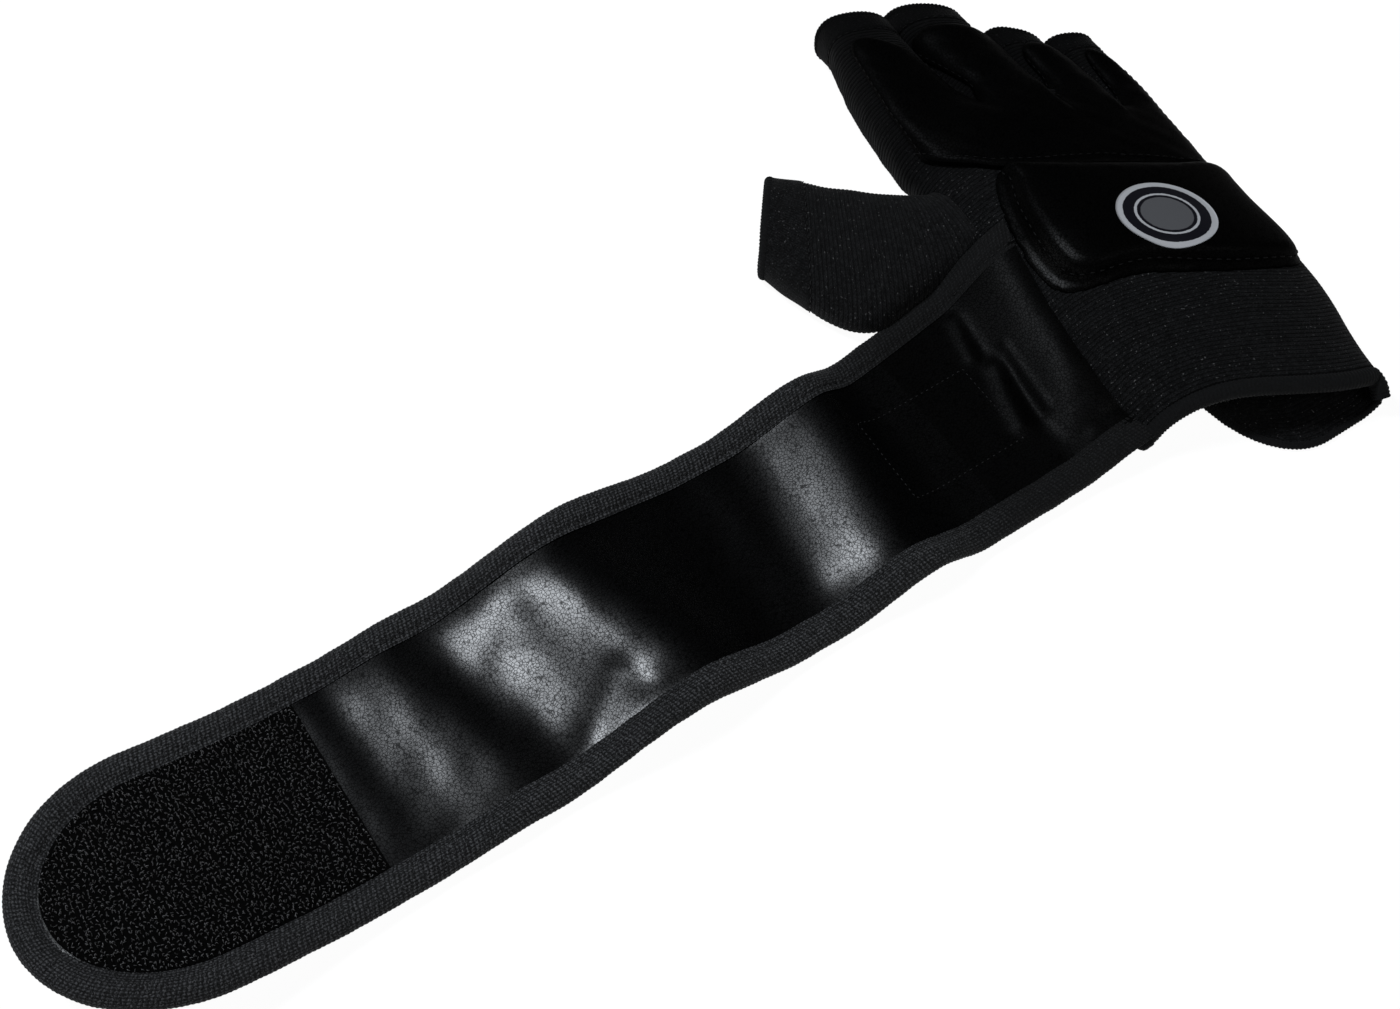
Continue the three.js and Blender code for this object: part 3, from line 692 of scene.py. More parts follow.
@dataclass(frozen=True)
class LeatherFinish(Finish):
    """Grained leatherette: glossy pebbles parted by dull creases, with a soft unevenness under them."""

    cell: float = 0.95
    cell_stir: float = 0.9
    cell_bend: float = 0.0006
    crease: float = 0.16
    grain: float = 0.04
    swell: float = 0.35
    dark: float = 0.25
    gloss: float = 1.0
    bright_spot: Triple | None = None
    bright_gloss: float = 0.25
    bright_reach: Plan = (0.003, 0.014)

    def pebbles(self, graph: Graph) -> Wire:
        """Pebbles of the grain, parted by creases.

        Args:
            graph: The material's nodes.

        Returns:
            1 on a pebble, 0 in a crease.
        """
        first, second, result = VECTOR_SOCKETS
        stir = {"Vector": graph.place(), "Scale": 1.0 / (self.cell_stir * MM), "Detail": 2.0}
        noise = graph.add("ShaderNodeTexNoise", None, stir, "Color")
        ends = {0: self.cell_bend, first: graph.place(), second: noise}
        bent = graph.add("ShaderNodeMix", {"data_type": "VECTOR"}, ends, result)
        cells = {"Vector": bent, "Scale": 1.0 / (self.cell * MM)}
        edge = graph.add("ShaderNodeTexVoronoi", {"feature": "DISTANCE_TO_EDGE"}, cells)
        return edge.step(0.0, self.crease)

    def pattern(self, graph: Graph) -> dict[str, Wire]:
        """Grain, creases and a changing gloss from the place, with more gloss round a bright spot.

        Args:
            graph: The material's nodes.

        Returns:
            A wire for each socket of the shader.
        """
        pebble = self.pebbles(graph)
        fine = graph.noise(0.35, 3.0, 4.0)
        soft = graph.bump(graph.noise(10.0, 2.0, 1.0), self.swell, 0.5)
        height = pebble * 0.7 + fine * 0.5
        patchy = graph.noise(1.3, 3.0, 5.0).step(0.3, 0.7)
        gloss = self.gloss
        if self.bright_spot is not None:
            ends = {0: graph.place(), 1: self.bright_spot}
            away = graph.add("ShaderNodeVectorMath", {"operation": "DISTANCE"}, ends, "Value")
            gloss = gloss + self.bright_gloss * (1.0 - away.step(*self.bright_reach))
        return {
            "Base Color": graph.tint(pebble, self.toned(self.dark), self.shade),
            "Coat Weight": pebble.above(0.12) * patchy.above(0.8) * (0.7 + 0.6 * fine) * gloss,
            "Normal": graph.bump(height, self.grain, 1.0, soft),
        }


@dataclass(frozen=True)
class TapeFinish(Finish):
    """Folded knit tape with slanting rows, with painted shade that darkens it towards the hand."""

    row: float = 1.35
    slant: float = 0.3
    tick: float = 0.9
    depth: float = 0.2
    tones: Plan = (0.1, 4.5)
    speck: Triple = (0.07, 0.07, 0.072)
    # Strength of the painted shade that darkens the tape towards the hand, and the span of X in metres over
    # which it comes in
    fade: float = 0.85
    painted_shade_zone: Plan = (-0.13, -0.075)

    def pattern(self, graph: Graph) -> dict[str, Wire]:
        """Slanting rows from the chart, with fuzz, and painted shade towards the hand.

        Args:
            graph: The material's nodes.

        Returns:
            A wire for each socket of the shader.
        """
        across, along = graph.chart()
        fuzz = graph.noise(0.4, 3.0, 3.0)
        place = (along + across * self.slant) / (self.row * MM)
        drift = graph.noise(1.6, 2.0, 13.0) * 1.2 + fuzz * 0.25
        rows = (place + drift).ripple()
        ticks = (across / (self.tick * MM) + fuzz * 0.5).ripple()
        height = rows * ticks.above(0.6) + fuzz * 0.5
        # Painted shade: the tape darkens towards the hand, where less light falls; the slow noise is the
        # tape's own uneven tone
        painted_shade_near_hand = graph.along("X").step(*self.painted_shade_zone)
        painted_shade_and_tone = (1.0 - self.fade * painted_shade_near_hand) * (0.7 + 0.6 * graph.noise(25.0, 1.0, 12.0))
        weave = rows.above(0.15) * ticks.above(0.15) * fuzz.step(0.38, 0.62)
        dark, light = (self.toned(factor) for factor in self.tones)
        shade = graph.tint((weave * 1.6).capped() * painted_shade_and_tone, dark, light)
        specks = graph.noise(0.6, 1.0, 9.0).step(0.64, 0.72) * painted_shade_and_tone
        colour = graph.tint(specks, shade, self.speck)
        return {"Base Color": colour, "Normal": graph.bump(height, self.depth, 0.9)}


@dataclass(frozen=True)
class PrintFinish(Finish):
    """Pale print on a dark field: a plain rim, and a thin ring round a grey oval."""

    field_shade: Triple = (0.004, 0.004, 0.007)
    centre_share: float = 0.2
    rim_start: Plan = (0.875, 0.885)
    ring_start: Plan = (0.6, 0.61)
    ring_end: Plan = (0.655, 0.665)
    centre_end: Plan = (0.53, 0.54)
    ink_depth: float = 0.05

    def pattern(self, graph: Graph) -> dict[str, Wire]:
        """Rings from the chart's distance to the centre, which is 1 at the edge.

        Args:
            graph: The material's nodes.

        Returns:
            A wire for each socket of the shader.
        """
        across, along = graph.chart()
        reach = (across * across + along * along).math("SQRT") / MM
        ragged = graph.noise(0.8, 3.0) * 0.03
        place = reach + ragged
        rim = place.step(*self.rim_start)
        ring = place.step(*self.ring_start) * (1.0 - place.step(*self.ring_end))
        centre = (1.0 - place.step(*self.centre_end)) * self.centre_share
        ink = rim.math("MAXIMUM", ring).math("MAXIMUM", centre)
        colour = graph.tint(ink, self.field_shade, self.shade)
        return {"Base Color": colour, "Normal": graph.bump(ink, self.ink_depth)}


KNIT = KnitFinish("rib_knit", (0.0033, 0.0034, 0.0036), 0.9, sheen=0.02, specular=0.1)
# Painted shade: a darker copy of the thumb's knit for the hand and fingers, which also darkens towards the
# fingers
SHADED_BODY_KNIT = KnitFinish("body_knit", (0.0028, 0.0029, 0.0031), 0.9, sheen=0.015, specular=0.08, fade=0.85)
HEM_KNIT = Finish("hem_knit", (0.0062, 0.0064, 0.0067), 0.9, sheen=0.02, specular=0.1)
# Painted shade: a darker copy of the hem knit for the finger ends, where less light falls
SHADED_FINGER_HEM = Finish("finger_hem_painted_shade", (0.0022, 0.0023, 0.0024), 0.9, sheen=0.01, specular=0.06)
LEATHER = LeatherFinish(
    "grained_leather", (0.0012, 0.0012, 0.0013), 0.42, specular=0.03, coat_roughness=0.25, gloss=0.58
)
DULL_LEATHER = LeatherFinish(
    "dull_leather", (0.0013, 0.0013, 0.0013), 0.5, specular=0.02, coat_roughness=0.4, gloss=0.06
)
HAND_LEATHER = LeatherFinish(
    "hand_leather", (0.001, 0.001, 0.001), 0.6, specular=0.01, coat_roughness=0.4, gloss=0.033,
    bright_spot=(-0.0285, 0.0045, 0.021),
)
TAPE = TapeFinish("binding_tape", (0.0138, 0.0142, 0.0149), 0.85, sheen=0.03, specular=0.15)
LINING = Finish("lining_cloth", (0.012, 0.012, 0.013), 0.85, sheen=0.05, specular=0.2)
LOOPS = Finish("loop_pile", (0.02, 0.02, 0.021), 0.9, sheen=0.2, specular=0.2)
# Painted glints: the black nylon hooks get a pale grey colour in spots, so that they read as glints
HOOKS = Finish("hook_nylon_painted_glints", (0.16, 0.16, 0.164), 0.3, specular=0.6, contrast=0.01)
HOOK_BASE = Finish("hook_base", (0.001, 0.001, 0.001), 0.9, specular=0.04)
THREAD = Finish("sewing_thread", (0.0068, 0.0068, 0.0072), 0.6, specular=0.2)
DARK_THREAD = Finish("dark_thread", (0.0024, 0.0024, 0.0026), 0.6, specular=0.1)
PRINT = PrintFinish("print_ink", (0.4, 0.41, 0.43), 0.5, specular=0.2)


# Pieces on their bodies


@dataclass(frozen=True)
class Crossing:
    """Fabric that turns from one body to another between two points, in millimetres."""

    first: str
    second: str
    start: Triple
    end: Triple


Carrier = str | Crossing


def place(
    piece: Piece, carrier: Carrier, slot: Slot, replaced: Sequence[str] = ()
) -> Piece:
    """Seat a finished piece on the body that carries it, or leave it unattached where it crosses between
    two.

    Args:
        piece: The piece, at the origin with its place in its mesh.
        carrier: A body, or the zone between two bodies, in which case the piece stays where it is.
        slot: The material slot for it, which is not used.
        replaced: Nodes that it stands for.

    Returns:
        The same piece.
    """
    if isinstance(carrier, Crossing):
        end = Vector(carrier.end) * MM
        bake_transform(piece)
    else:
        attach(piece, carrier)
    if replaced:
        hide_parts(*replaced)
    LOG.info("%s: %d faces, stands for %s", piece.name, len(piece.data.polygons), list(replaced))
    return piece


# What repeats along a path or over a surface


class Growth:
    """A Geometry Nodes tree with named sizes that turns a guide mesh into a plain mesh."""

    def __init__(self, name: str, sizes: dict[str, float]) -> None:
        """Start a tree.

        Args:
            name: Name of the tree.
            sizes: Its inputs after the guide, with their defaults.
        """
        self.tree = bpy.data.node_groups.new(name, "GeometryNodeTree")
        self.tree.interface.new_socket("Guide", in_out="INPUT", socket_type="NodeSocketGeometry")
        self.names: dict[str, str] = {}
        for label, value in sizes.items():
            socket = self.tree.interface.new_socket(label, in_out="INPUT", socket_type="NodeSocketFloat")
            socket.default_value = value
            self.names[label] = socket.identifier
        self.tree.interface.new_socket("Piece", in_out="OUTPUT", socket_type="NodeSocketGeometry")
        self.graph = Graph(self.tree)
        self.guide = self.graph.add("NodeGroupInput")

    def size(self, label: str) -> Wire:
        """The wire of a named size."""
        return self.guide.other(label)

    def end(self, shape: Wire, finish: Finish) -> None:
        """Finish the tree: real mesh, smooth, one material.

        Args:
            shape: What the tree made.
            finish: The finish that gives its material.
        """
        real = self.graph.add("GeometryNodeRealizeInstances", None, {"Geometry": shape})
        smooth = self.graph.add("GeometryNodeSetShadeSmooth", None, {"Geometry": real})
        dressed = self.graph.add(
            "GeometryNodeSetMaterial", None, {"Geometry": smooth, "Material": finish.material()}
        )
        self.graph.add("NodeGroupOutput", None, {0: dressed})

    def grow(self, name: str, guide: bpy.types.Mesh, **sizes: float) -> Piece:
        """Run the tree on a guide.

        Args:
            name: Name of the new piece.
            guide: Mesh that the tree follows.
            **sizes: Values for the named inputs, with _ for a space.

        Returns:
            A new object with a plain mesh and no modifier.
        """
        source = new_object("guide", guide)
        modifier = source.modifiers.new("growth", "NODES")
        modifier.node_group = self.tree
        for label, value in sizes.items():
            modifier[self.names[label.replace("_", " ")]] = value
        state = bpy.context.evaluated_depsgraph_get()
        mesh = bpy.data.meshes.new_from_object(source.evaluated_get(state), depsgraph=state)
        source.modifiers.clear()
        bpy.data.objects.remove(source)
        mesh.name = name
        return new_object(name, mesh)


def stitch_growth() -> Growth:
    """Thread stitches laid end to end along lines.

    Returns:
        The tree, with inputs in metres.
    """
    growth = Growth("stitch_run", {"Pitch": 2.6 * MM, "Length": 1.9 * MM, "Width": 0.45 * MM})
    graph = growth.graph
    line = graph.add("GeometryNodeMeshToCurve", None, {"Mesh": growth.guide})
    pitch, length, width = (growth.size(label) for label in ("Pitch", "Length", "Width"))
    spots = graph.add("GeometryNodeResampleCurve", {"mode": "LENGTH"}, {"Curve": line, "Length": pitch})
    bead = graph.add("GeometryNodeMeshUVSphere", None, {"Segments": 6, "Rings": 4, "Radius": 0.5})
    scale = graph.add("ShaderNodeCombineXYZ", None, {0: length, 1: width, 2: width})
    thread = graph.add("GeometryNodeTransform", None, {"Geometry": bead, "Scale": scale})
    tangent = graph.add("GeometryNodeInputTangent")
    turn = graph.add("FunctionNodeAlignRotationToVector", {"axis": "X"}, {"Vector": tangent})
    laid = {"Points": spots, "Instance": thread, "Rotation": turn}
    growth.end(graph.add("GeometryNodeInstanceOnPoints", None, laid), THREAD)
    return growth


def hem_growth() -> Growth:
    """A rolled knit edge with fine ribs across it.

    Returns:
        The tree, with inputs in metres.
    """
    sizes = {"Radius": 1.8 * MM, "Rib": 1.2 * MM, "Depth": 0.14 * MM, "Step": 0.35 * MM}
    growth = Growth("rolled_hem", sizes)
    graph = growth.graph
    line = graph.add("GeometryNodeMeshToCurve", None, {"Mesh": growth.guide})
    step = growth.size("Step")
    fine = graph.add("GeometryNodeResampleCurve", {"mode": "LENGTH"}, {"Curve": line, "Length": step})
    travelled = graph.add("GeometryNodeSplineParameter", output="Length")
    marked = graph.add(
        "GeometryNodeStoreNamedAttribute",
        {"data_type": "FLOAT", "domain": "POINT"},
        {"Geometry": fine, "Name": "run", "Value": travelled},
    )
    section = {"Resolution": 14, "Radius": growth.size("Radius")}
    ring = graph.add("GeometryNodeCurvePrimitiveCircle", None, section)
    sweep = {"Curve": marked, "Profile Curve": ring, "Fill Caps": True}
    roll = graph.add("GeometryNodeCurveToMesh", None, sweep)
    run = graph.add("GeometryNodeInputNamedAttribute", {"data_type": "FLOAT"}, {"Name": "run"})
    wave = ((run / growth.size("Rib")) * TURN).sine() * growth.size("Depth")
    normal = graph.add("GeometryNodeInputNormal")
    lift = graph.add("ShaderNodeVectorMath", {"operation": "SCALE"}, {0: normal, "Scale": wave})
    ribbed = graph.add("GeometryNodeSetPosition", None, {"Geometry": roll, "Offset": lift})
    growth.end(ribbed, HEM_KNIT)
    return growth


def hook_growth() -> Growth:
    """Small bent hooks that stand on points, each turned its own way.

    Returns:
        The tree, with inputs in metres.
    """
    growth = Growth("hook_field", {"Height": 0.85 * MM, "Thickness": 0.12 * MM})
    graph = growth.graph
    height = growth.size("Height")
    lean = 0.45
    top = graph.add("ShaderNodeCombineXYZ", None, {0: height * 0.1, 2: height * 2.0})
    tip = graph.add("ShaderNodeCombineXYZ", None, {0: height * 0.75, 2: height * 0.35})
    bow = {"Resolution": 5, "Start": (0.0, 0.0, 0.0), "Middle": top, "End": tip}
    section = {"Resolution": 3, "Radius": growth.size("Thickness")}
    sweep = {
        "Curve": graph.add("GeometryNodeCurveQuadraticBezier", None, bow),
        "Profile Curve": graph.add("GeometryNodeCurvePrimitiveCircle", None, section),
        "Fill Caps": True,
    }
    hook = graph.add("GeometryNodeCurveToMesh", None, sweep)
    turns = {0: (-lean, -lean, 0.0), 1: (lean, lean, TURN), "Seed": 11}
    spin = graph.add("FunctionNodeRandomValue", {"data_type": "FLOAT_VECTOR"}, turns)
    stood = {"Points": growth.guide, "Instance": hook, "Rotation": spin}
    growth.end(graph.add("GeometryNodeInstanceOnPoints", None, stood), HOOKS)
    return growth


@dataclass(frozen=True)
class Workshop:
    """The trees that several pieces share."""

    stitches: Growth = field(default_factory=stitch_growth)
    hems: Growth = field(default_factory=hem_growth)
    hooks: Growth = field(default_factory=hook_growth)

    def sew(
        self, name: str, lines: Sequence[Array], carrier: Carrier, slot: Slot, thread: Finish = THREAD,
        **sizes: float,
    ) -> None:
        """Sew along lines of points in millimetres, with other stitch sizes in metres where given."""
        place(thread.dress(self.stitches.grow(name, line_mesh(lines), **sizes)), carrier, slot)

    def hem(
        self, path: Array, radius: float, carrier: Carrier, node: str, closed: bool = True,
        finish: Finish = HEM_KNIT,
    ) -> None:
        """Roll a hem along the points of its middle line, in millimetres, in place of a node."""
        roll = self.hems.grow(f"{node}_roll", line_mesh([path], closed), Radius=radius * MM)
        place(finish.dress(roll), carrier, Slot.HEM, (node,))


# Cross-sections


@dataclass(frozen=True)
class Roundness:
    """The shape of a section: an arched back and a flat palm with round sides."""

    power: float = 2.4
    flat: float = 0.6

    def arch(self, across: Array) -> Array:
        """Rise of the back from 0 at the sides to 1 in the middle."""
        return (1.0 - np.clip(np.abs(across), 0.0, 1.0) ** self.power) ** (1.0 / self.power)

    def across(self, angle: Array) -> Array:
        """Place across the section at angles round it, from -1 on the left to 1 on the right."""
        return np.sign(np.cos(angle)) * np.abs(np.cos(angle)) ** (2.0 / self.power)

    def ring(
        self, angle: Array, left: Array, right: Array, base: Array, seam: Array, crown: Array,
        tilt: float = 0.0,
    ) -> Array:
        """Points round a section; angle 0 is the right side and a quarter turn the back.

        Args:
            angle: Angles of the columns.
            left: Plan points of the left side, with x and y on the last axis.
            right: Plan points of the right side.
            base: Height of the palm.
            seam: Height of the sides.
            crown: Height of the back.
            tilt: How much higher the back is on the left.

        Returns:
            Points, with x, y and z on the last axis.
        """
        across = self.across(angle)
        upper = np.sin(angle) >= 0
        out = np.abs(across)
        turn = np.where(upper, out, np.clip(out - self.flat, 0.0, None) / (1.0 - self.flat))
        rise = self.arch(turn)
        back = seam + (crown - seam) * rise * (1.0 - tilt * across)
        palm = seam - (seam - base) * rise
        plan = between(left, right, ((across + 1.0) / 2.0)[..., None])
        height = np.where(upper, back, palm) + 0.0 * plan[..., 0]
        return np.concatenate([plan, height[..., None]], -1)


ROUND = Roundness()


@dataclass(frozen=True)
class KnitTube:
    """How a knitted tube is made: its wall, its ribs and its rows."""

    wall: float = 1.5
    pitch: float = 1.4
    depth: float = 0.2
    rows_per_rib: int = 4
    rib_power: float = 0.8
    rib_level: float = 0.6
    uneven: float = 0.5
    last_rib: float = 0.15
    finish: Finish = SHADED_BODY_KNIT

    def rows(self, length: float) -> int:
        """Rows of points for a length, with the same number for each rib."""
        return int(round(length / self.pitch)) * self.rows_per_rib + 1

    def make(self, name: str, points: Array, quiet: Array | float = 0.0) -> Piece:
        """Knit a tube over a smooth form.

        Args:
            name: Name of the piece.
            points: The smooth outer form, rows x columns x 3.
            quiet: Share by which the ribs fade, such as 1 in a folded hem.

        Returns:
            The closed tube.
        """
        normals = grid_normals(points, Shape.TUBE)
        quiet = np.broadcast_to(quiet, points.shape[:2])
        count = np.arange(len(points)) / self.rows_per_rib
        plain = np.flatnonzero(quiet[:, 0] > 0.5)
        if len(plain):
            count = np.minimum(count, math.floor(count[plain[0]]) + self.last_rib)
        wave = np.abs(np.sin(math.pi * count))[:, None] ** self.rib_power - self.rib_level
        uneven = 1.0 + self.uneven * wobble(points, wave=11.0, seed=5)
        outer = points + normals * (self.depth * wave * uneven * (1.0 - quiet))[..., None]
        inner = (points - normals * self.wall)[:: self.rows_per_rib]
        return self.finish.dress(shell(name, outer, inner, Shape.TUBE, ribs=count))


# The hand


@dataclass(frozen=True)
class HandForm:
    """The smooth form of the hand and cuff."""

    left: float = 42.0
    palm_right: float = 40.5
    knuckle_right: float = 43.8
    cuff_left: float = 37.0
    cuff_right: float = 31.0
    height: float = 23.0
    cuff_height: float = 21.0
    seam: float = 9.0
    tilt: float = 0.22
    cuff_y: float = -80.0
    palm_y: float = -28.0
    spread_y: float = 42.0
    dip: float = 6.0
    dip_at: Plan = (-39.0, -57.0)
    dip_reach: float = 15.0

    def sides(self, y: Array) -> tuple[Array, Array, Array]:
        """Find the outline of the hand.

        Args:
            y: Places along the hand.

        Returns:
            Left side, right side and height of the crown.
        """
        growth = ease(y, self.cuff_y, self.palm_y)
        spread = ease(y, 0.0, self.spread_y)
        left = -between(self.cuff_left, self.left, growth)
        right = between(between(self.cuff_right, self.palm_right, growth), self.knuckle_right, spread)
        return left, right, between(self.cuff_height, self.height, growth)

    def back(self, x: Array, y: Array) -> Array:
        """Find the height of the back of the hand.

        Args:
            x: Places across the hand.
            y: Places along the hand.

        Returns:
            Heights over those plan points.
        """
        left, right, crown = self.sides(y)
        across = np.clip((2.0 * x - left - right) / (right - left), -1.0, 1.0)
        rise = (crown - self.seam) * ROUND.arch(across) * (1.0 - self.tilt * across)
        return self.seam + np.maximum(rise - self.sunk(x, y), 0.0)

    def sunk(self, x: Array, y: Array) -> Array:
        """How far the back sinks at the corner between cuff and strap."""
        return self.dip * bell(np.hypot(x - self.dip_at[0], y - self.dip_at[1]), self.dip_reach)

    def ring(self, angle: Array, y: Array) -> Array:
        """Run points round the hand.

        Args:
            angle: Angles round it.
            y: Places along it.

        Returns:
            Points, with x, y and z on the last axis.
        """
        left, right, crown = self.sides(y)
        sides = [np.stack([side + 0.0 * y, y], -1) for side in (left, right)]
        points = ROUND.ring(angle, sides[0], sides[1], 0.0, self.seam, crown, self.tilt)
        above = points[..., 2] - self.seam
        lowered = np.maximum(above - self.sunk(points[..., 0], points[..., 1]), np.minimum(above, 0.0))
        points[..., 2] = self.seam + lowered
        return points


HAND = HandForm()


@dataclass(frozen=True)
class Finger:
    """One finger sleeve: its root, its end and its knuckle."""

    name: str
    left: float
    right: float
    end_left: float
    end_right: float
    knuckle: float
    length: float
    end_height: float
    slant: float
    lift: float = 1.2
    bulge: float = 0.0
    seam_share: float = 0.42
    gap: float = 0.3
    turn_zone: Plan = (-5.0, 12.0)

    @property
    def end(self) -> float:
        """How far the sleeve reaches."""
        return self.knuckle + self.gap + self.length

    def end_at(self, across: Array) -> Array:
        """Reach at a place across the finger, from -1 to 1: the thumb side is longer."""
        return self.end - self.slant / 2.0 * across

    def along(self, y: Array) -> Array:
        """Share of the way from the knuckle to the end."""
        return np.clip((y - self.knuckle - self.gap) / self.length, 0.0, 1.0)

    def sides(self, y: Array) -> tuple[Array, Array]:
        """Find the outline of the finger.

        Args:
            y: Places along the finger.

        Returns:
            Left and right side.
        """
        share = self.along(y)
        out = self.bulge * np.sin(math.pi * share)
        return between(self.left, self.end_left, share) - out, between(self.right, self.end_right, share)

    def crown(self, y: Array) -> Array:
        """Height of the finger's back."""
        root = HAND.back(np.float64((self.left + self.right) / 2.0), np.float64(self.knuckle))
        return between(root, self.lift + self.end_height, self.along(y))

    def ring(self, angle: Array, y: Array) -> Array:
        """Run points round the finger.

        Args:
            angle: Angles round it.
            y: Places along it.

        Returns:
            Points, with x, y and z on the last axis.
        """
        left, right = self.sides(y)
        base = self.lift * self.along(y)
        crown = self.crown(y)
        seam = base + self.seam_share * (crown - base)
        sides = [np.stack([side, y], -1) for side in (left, right)]
        return ROUND.ring(angle, sides[0], sides[1], base, seam, crown)

    def crossing(self) -> Crossing:
        """The zone in which the fabric turns at the knuckle, from the hand to the finger."""
        ends = [((self.left + self.right) / 2.0, self.knuckle + off, 0.0) for off in self.turn_zone]
        return Crossing("hand", f"{self.name}_finger", *ends)


FINGERS = (
    Finger("index", -42.0, -10.2, -33.0, -11.3, 64.0, 53.0, 20.0, 11.0, lift=4.0, bulge=2.0),
    Finger("middle", -10.4, 12.4, -10.2, 11.8, 62.0, 48.0, 19.5, 14.0),
    Finger("ring", 13.0, 28.2, 12.2, 27.0, 52.0, 34.4, 18.0, 14.0),
    Finger("little", 28.8, 43.8, 28.0, 43.2, 42.0, 35.0, 15.0, 7.0),
)


@dataclass(frozen=True)
class KnitHand:
    """The knitted hand with its rolled cuff."""

    shop: Workshop
    columns: int = 128
    rib: float = 1.5
    length: float = 128.0
    tuck: float = 0.9
    tuck_zone: Plan = (-19.0, -12.0)
    uneven: float = 0.35
    clear: float = 0.3
    cuff_y: float = -60.0
    back_y: float = -50.0
    back_drop: float = 21.0
    drop_zone: Plan = (-36.0, 31.0)
    palm_y: float = -47.0
    lip_y: float = -78.3
    lip_start: float = -13.0
    lip_reach: float = 24.0
    side_zone: float = 0.35
    hem_radius: float = 2.7
    hem_bury: float = 0.5
    hem_out: float = 0.9
    hem_overlap: int = 3
    lip_radius: float = 1.1
    lip_out: float = 0.5
    roll_clear: float = 0.15
    front: Line = (
        (-42.0, 64.5), (-12.0, 64.0), (8.0, 62.0), (18.0, 54.0), (32.0, 44.0), (44.0, 42.5),
    )

    def hem_y(self, angle: Array) -> Array:
        """Find the rear edge of the knit: high at the strap, low on the other side.

        Args:
            angle: Angles of the columns.

        Returns:
            The edge's y at each column.
        """
        left, right, _ = HAND.sides(np.float64(self.cuff_y))
        x = between(left, right, (ROUND.across(angle) + 1.0) / 2.0)
        back = self.back_y - self.back_drop * ease(x, *self.drop_zone)
        lip = np.clip((x - self.lip_start) / self.lip_reach, 0.0, 1.0)
        palm = between(self.palm_y, self.lip_y, np.sqrt(1.0 - (1.0 - lip) ** 2))
        return between(palm, back, ease(np.sin(angle), -self.side_zone, self.side_zone))

    def front_y(self, angle: Array) -> Array:
        """Front edge of the knit at each column, just inside the finger sleeves."""
        x = between(-HAND.left, HAND.knuckle_right, (np.cos(angle) + 1.0) / 2.0)
        return np.interp(x, *zip(*self.front))

    def build(self) -> None:
        """Knit the hand and roll its cuff."""
        angle = round_angles(self.columns)
        rear, front = self.hem_y(angle), self.front_y(angle)
        knit = KnitTube(pitch=self.rib)
        share = np.linspace(0.0, 1.0, knit.rows(self.length))[:, None]
        y = between(rear, front, share)
        points = HAND.ring(angle + 0.0 * y, y)
        normals = grid_normals(points, Shape.TUBE)
        under = ease(y - front, *self.tuck_zone)
        points = points - normals * (self.tuck * under)[..., None]
        points = points + normals * (self.uneven * wobble(points, wave=45.0, seed=3))[..., None]
        points[..., 2] = np.maximum(points[..., 2], self.clear)
        piece = knit.make("knit_hand", points)
        place(piece, "hand", Slot.KNIT, ("back_panel", "palm_panel"))
        self.roll_edge(points[0] - normals[0] * (self.hem_radius - self.hem_bury), True)
        self.roll_edge(points[0] - normals[0] * self.lip_radius, False)

    def roll_edge(self, path: Array, back: bool) -> None:
        """Roll the cuff's edge on the back or on the palm.

        Args:
            path: Middle line of the roll all round the cuff.
            back: True for the back, False for the palm.
        """
        half = self.columns // 2
        if back:
            columns = np.arange(-self.hem_overlap, half + self.hem_overlap + 1)
            radius, out, node = self.hem_radius, self.hem_out, "cuff_hem_back"
        else:
            columns = np.arange(half, self.columns + 1)
            radius, out, node = self.lip_radius, self.lip_out, "cuff_hem_palm"
        run = path[columns % self.columns]
        run[:, 1] -= radius * out
        run[:, 2] = np.maximum(run[:, 2], radius + self.roll_clear)
        self.shop.hem(run, radius, "hand", node, False)


@dataclass(frozen=True)
class FoldedEnd:
    """The folded, sewn and rolled end of a sleeve."""

    width: float
    soft: Plan
    uneven: float
    wave: float
    seed: int
    thread_lift: float
    swell: float = 0.35
    pull: float = 0.3
    pull_width: float = 0.5
    hem_radius: float = 1.6
    hem_bury: float = 0.15
    hem_out: float = 0.6

    def fold(self, points: Array, left: Array) -> tuple[Array, Array, Array]:
        """Swell the folded band and pull in its seam.

        Args:
            points: The smooth sleeve, rows x columns x 3.
            left: Distance of each point to the sleeve's end.

        Returns:
            The new points, the sleeve's normals, and the share of the band at each point.
        """
        band = 1.0 - ease(left, self.width - self.soft[0], self.width + self.soft[1])
        normals = grid_normals(points, Shape.TUBE)
        pulled = self.pull * bell(left - self.width, self.pull_width)
        swell_by = self.swell * band - pulled + self.uneven * wobble(points, self.wave, self.seed)
        return points + normals * swell_by[..., None], normals, band

    def seam(self, points: Array, normals: Array, left: Array) -> list[Array]:
        """Lay the line of stitches round the band's inner edge.

        Args:
            points: The folded sleeve.
            normals: Its normals.
            left: Distance of each point to the sleeve's end.

        Returns:
            One line that ends where it starts.
        """
        row = int(np.argmin(np.abs(left[:, 0] - self.width)))
        line = points[row] + normals[row] * self.thread_lift
        return [np.concatenate([line, line[:1]])]

    def hem_path(self, points: Array, normals: Array, turn: float) -> Array:
        """Lay the middle line of the rolled hem, just outside the end of a sleeve turned in plan."""
        outward = self.hem_out * np.array([math.cos(turn), math.sin(turn), 0.0])
        return points[-1] - normals[-1] * (self.hem_radius - self.hem_bury) + outward


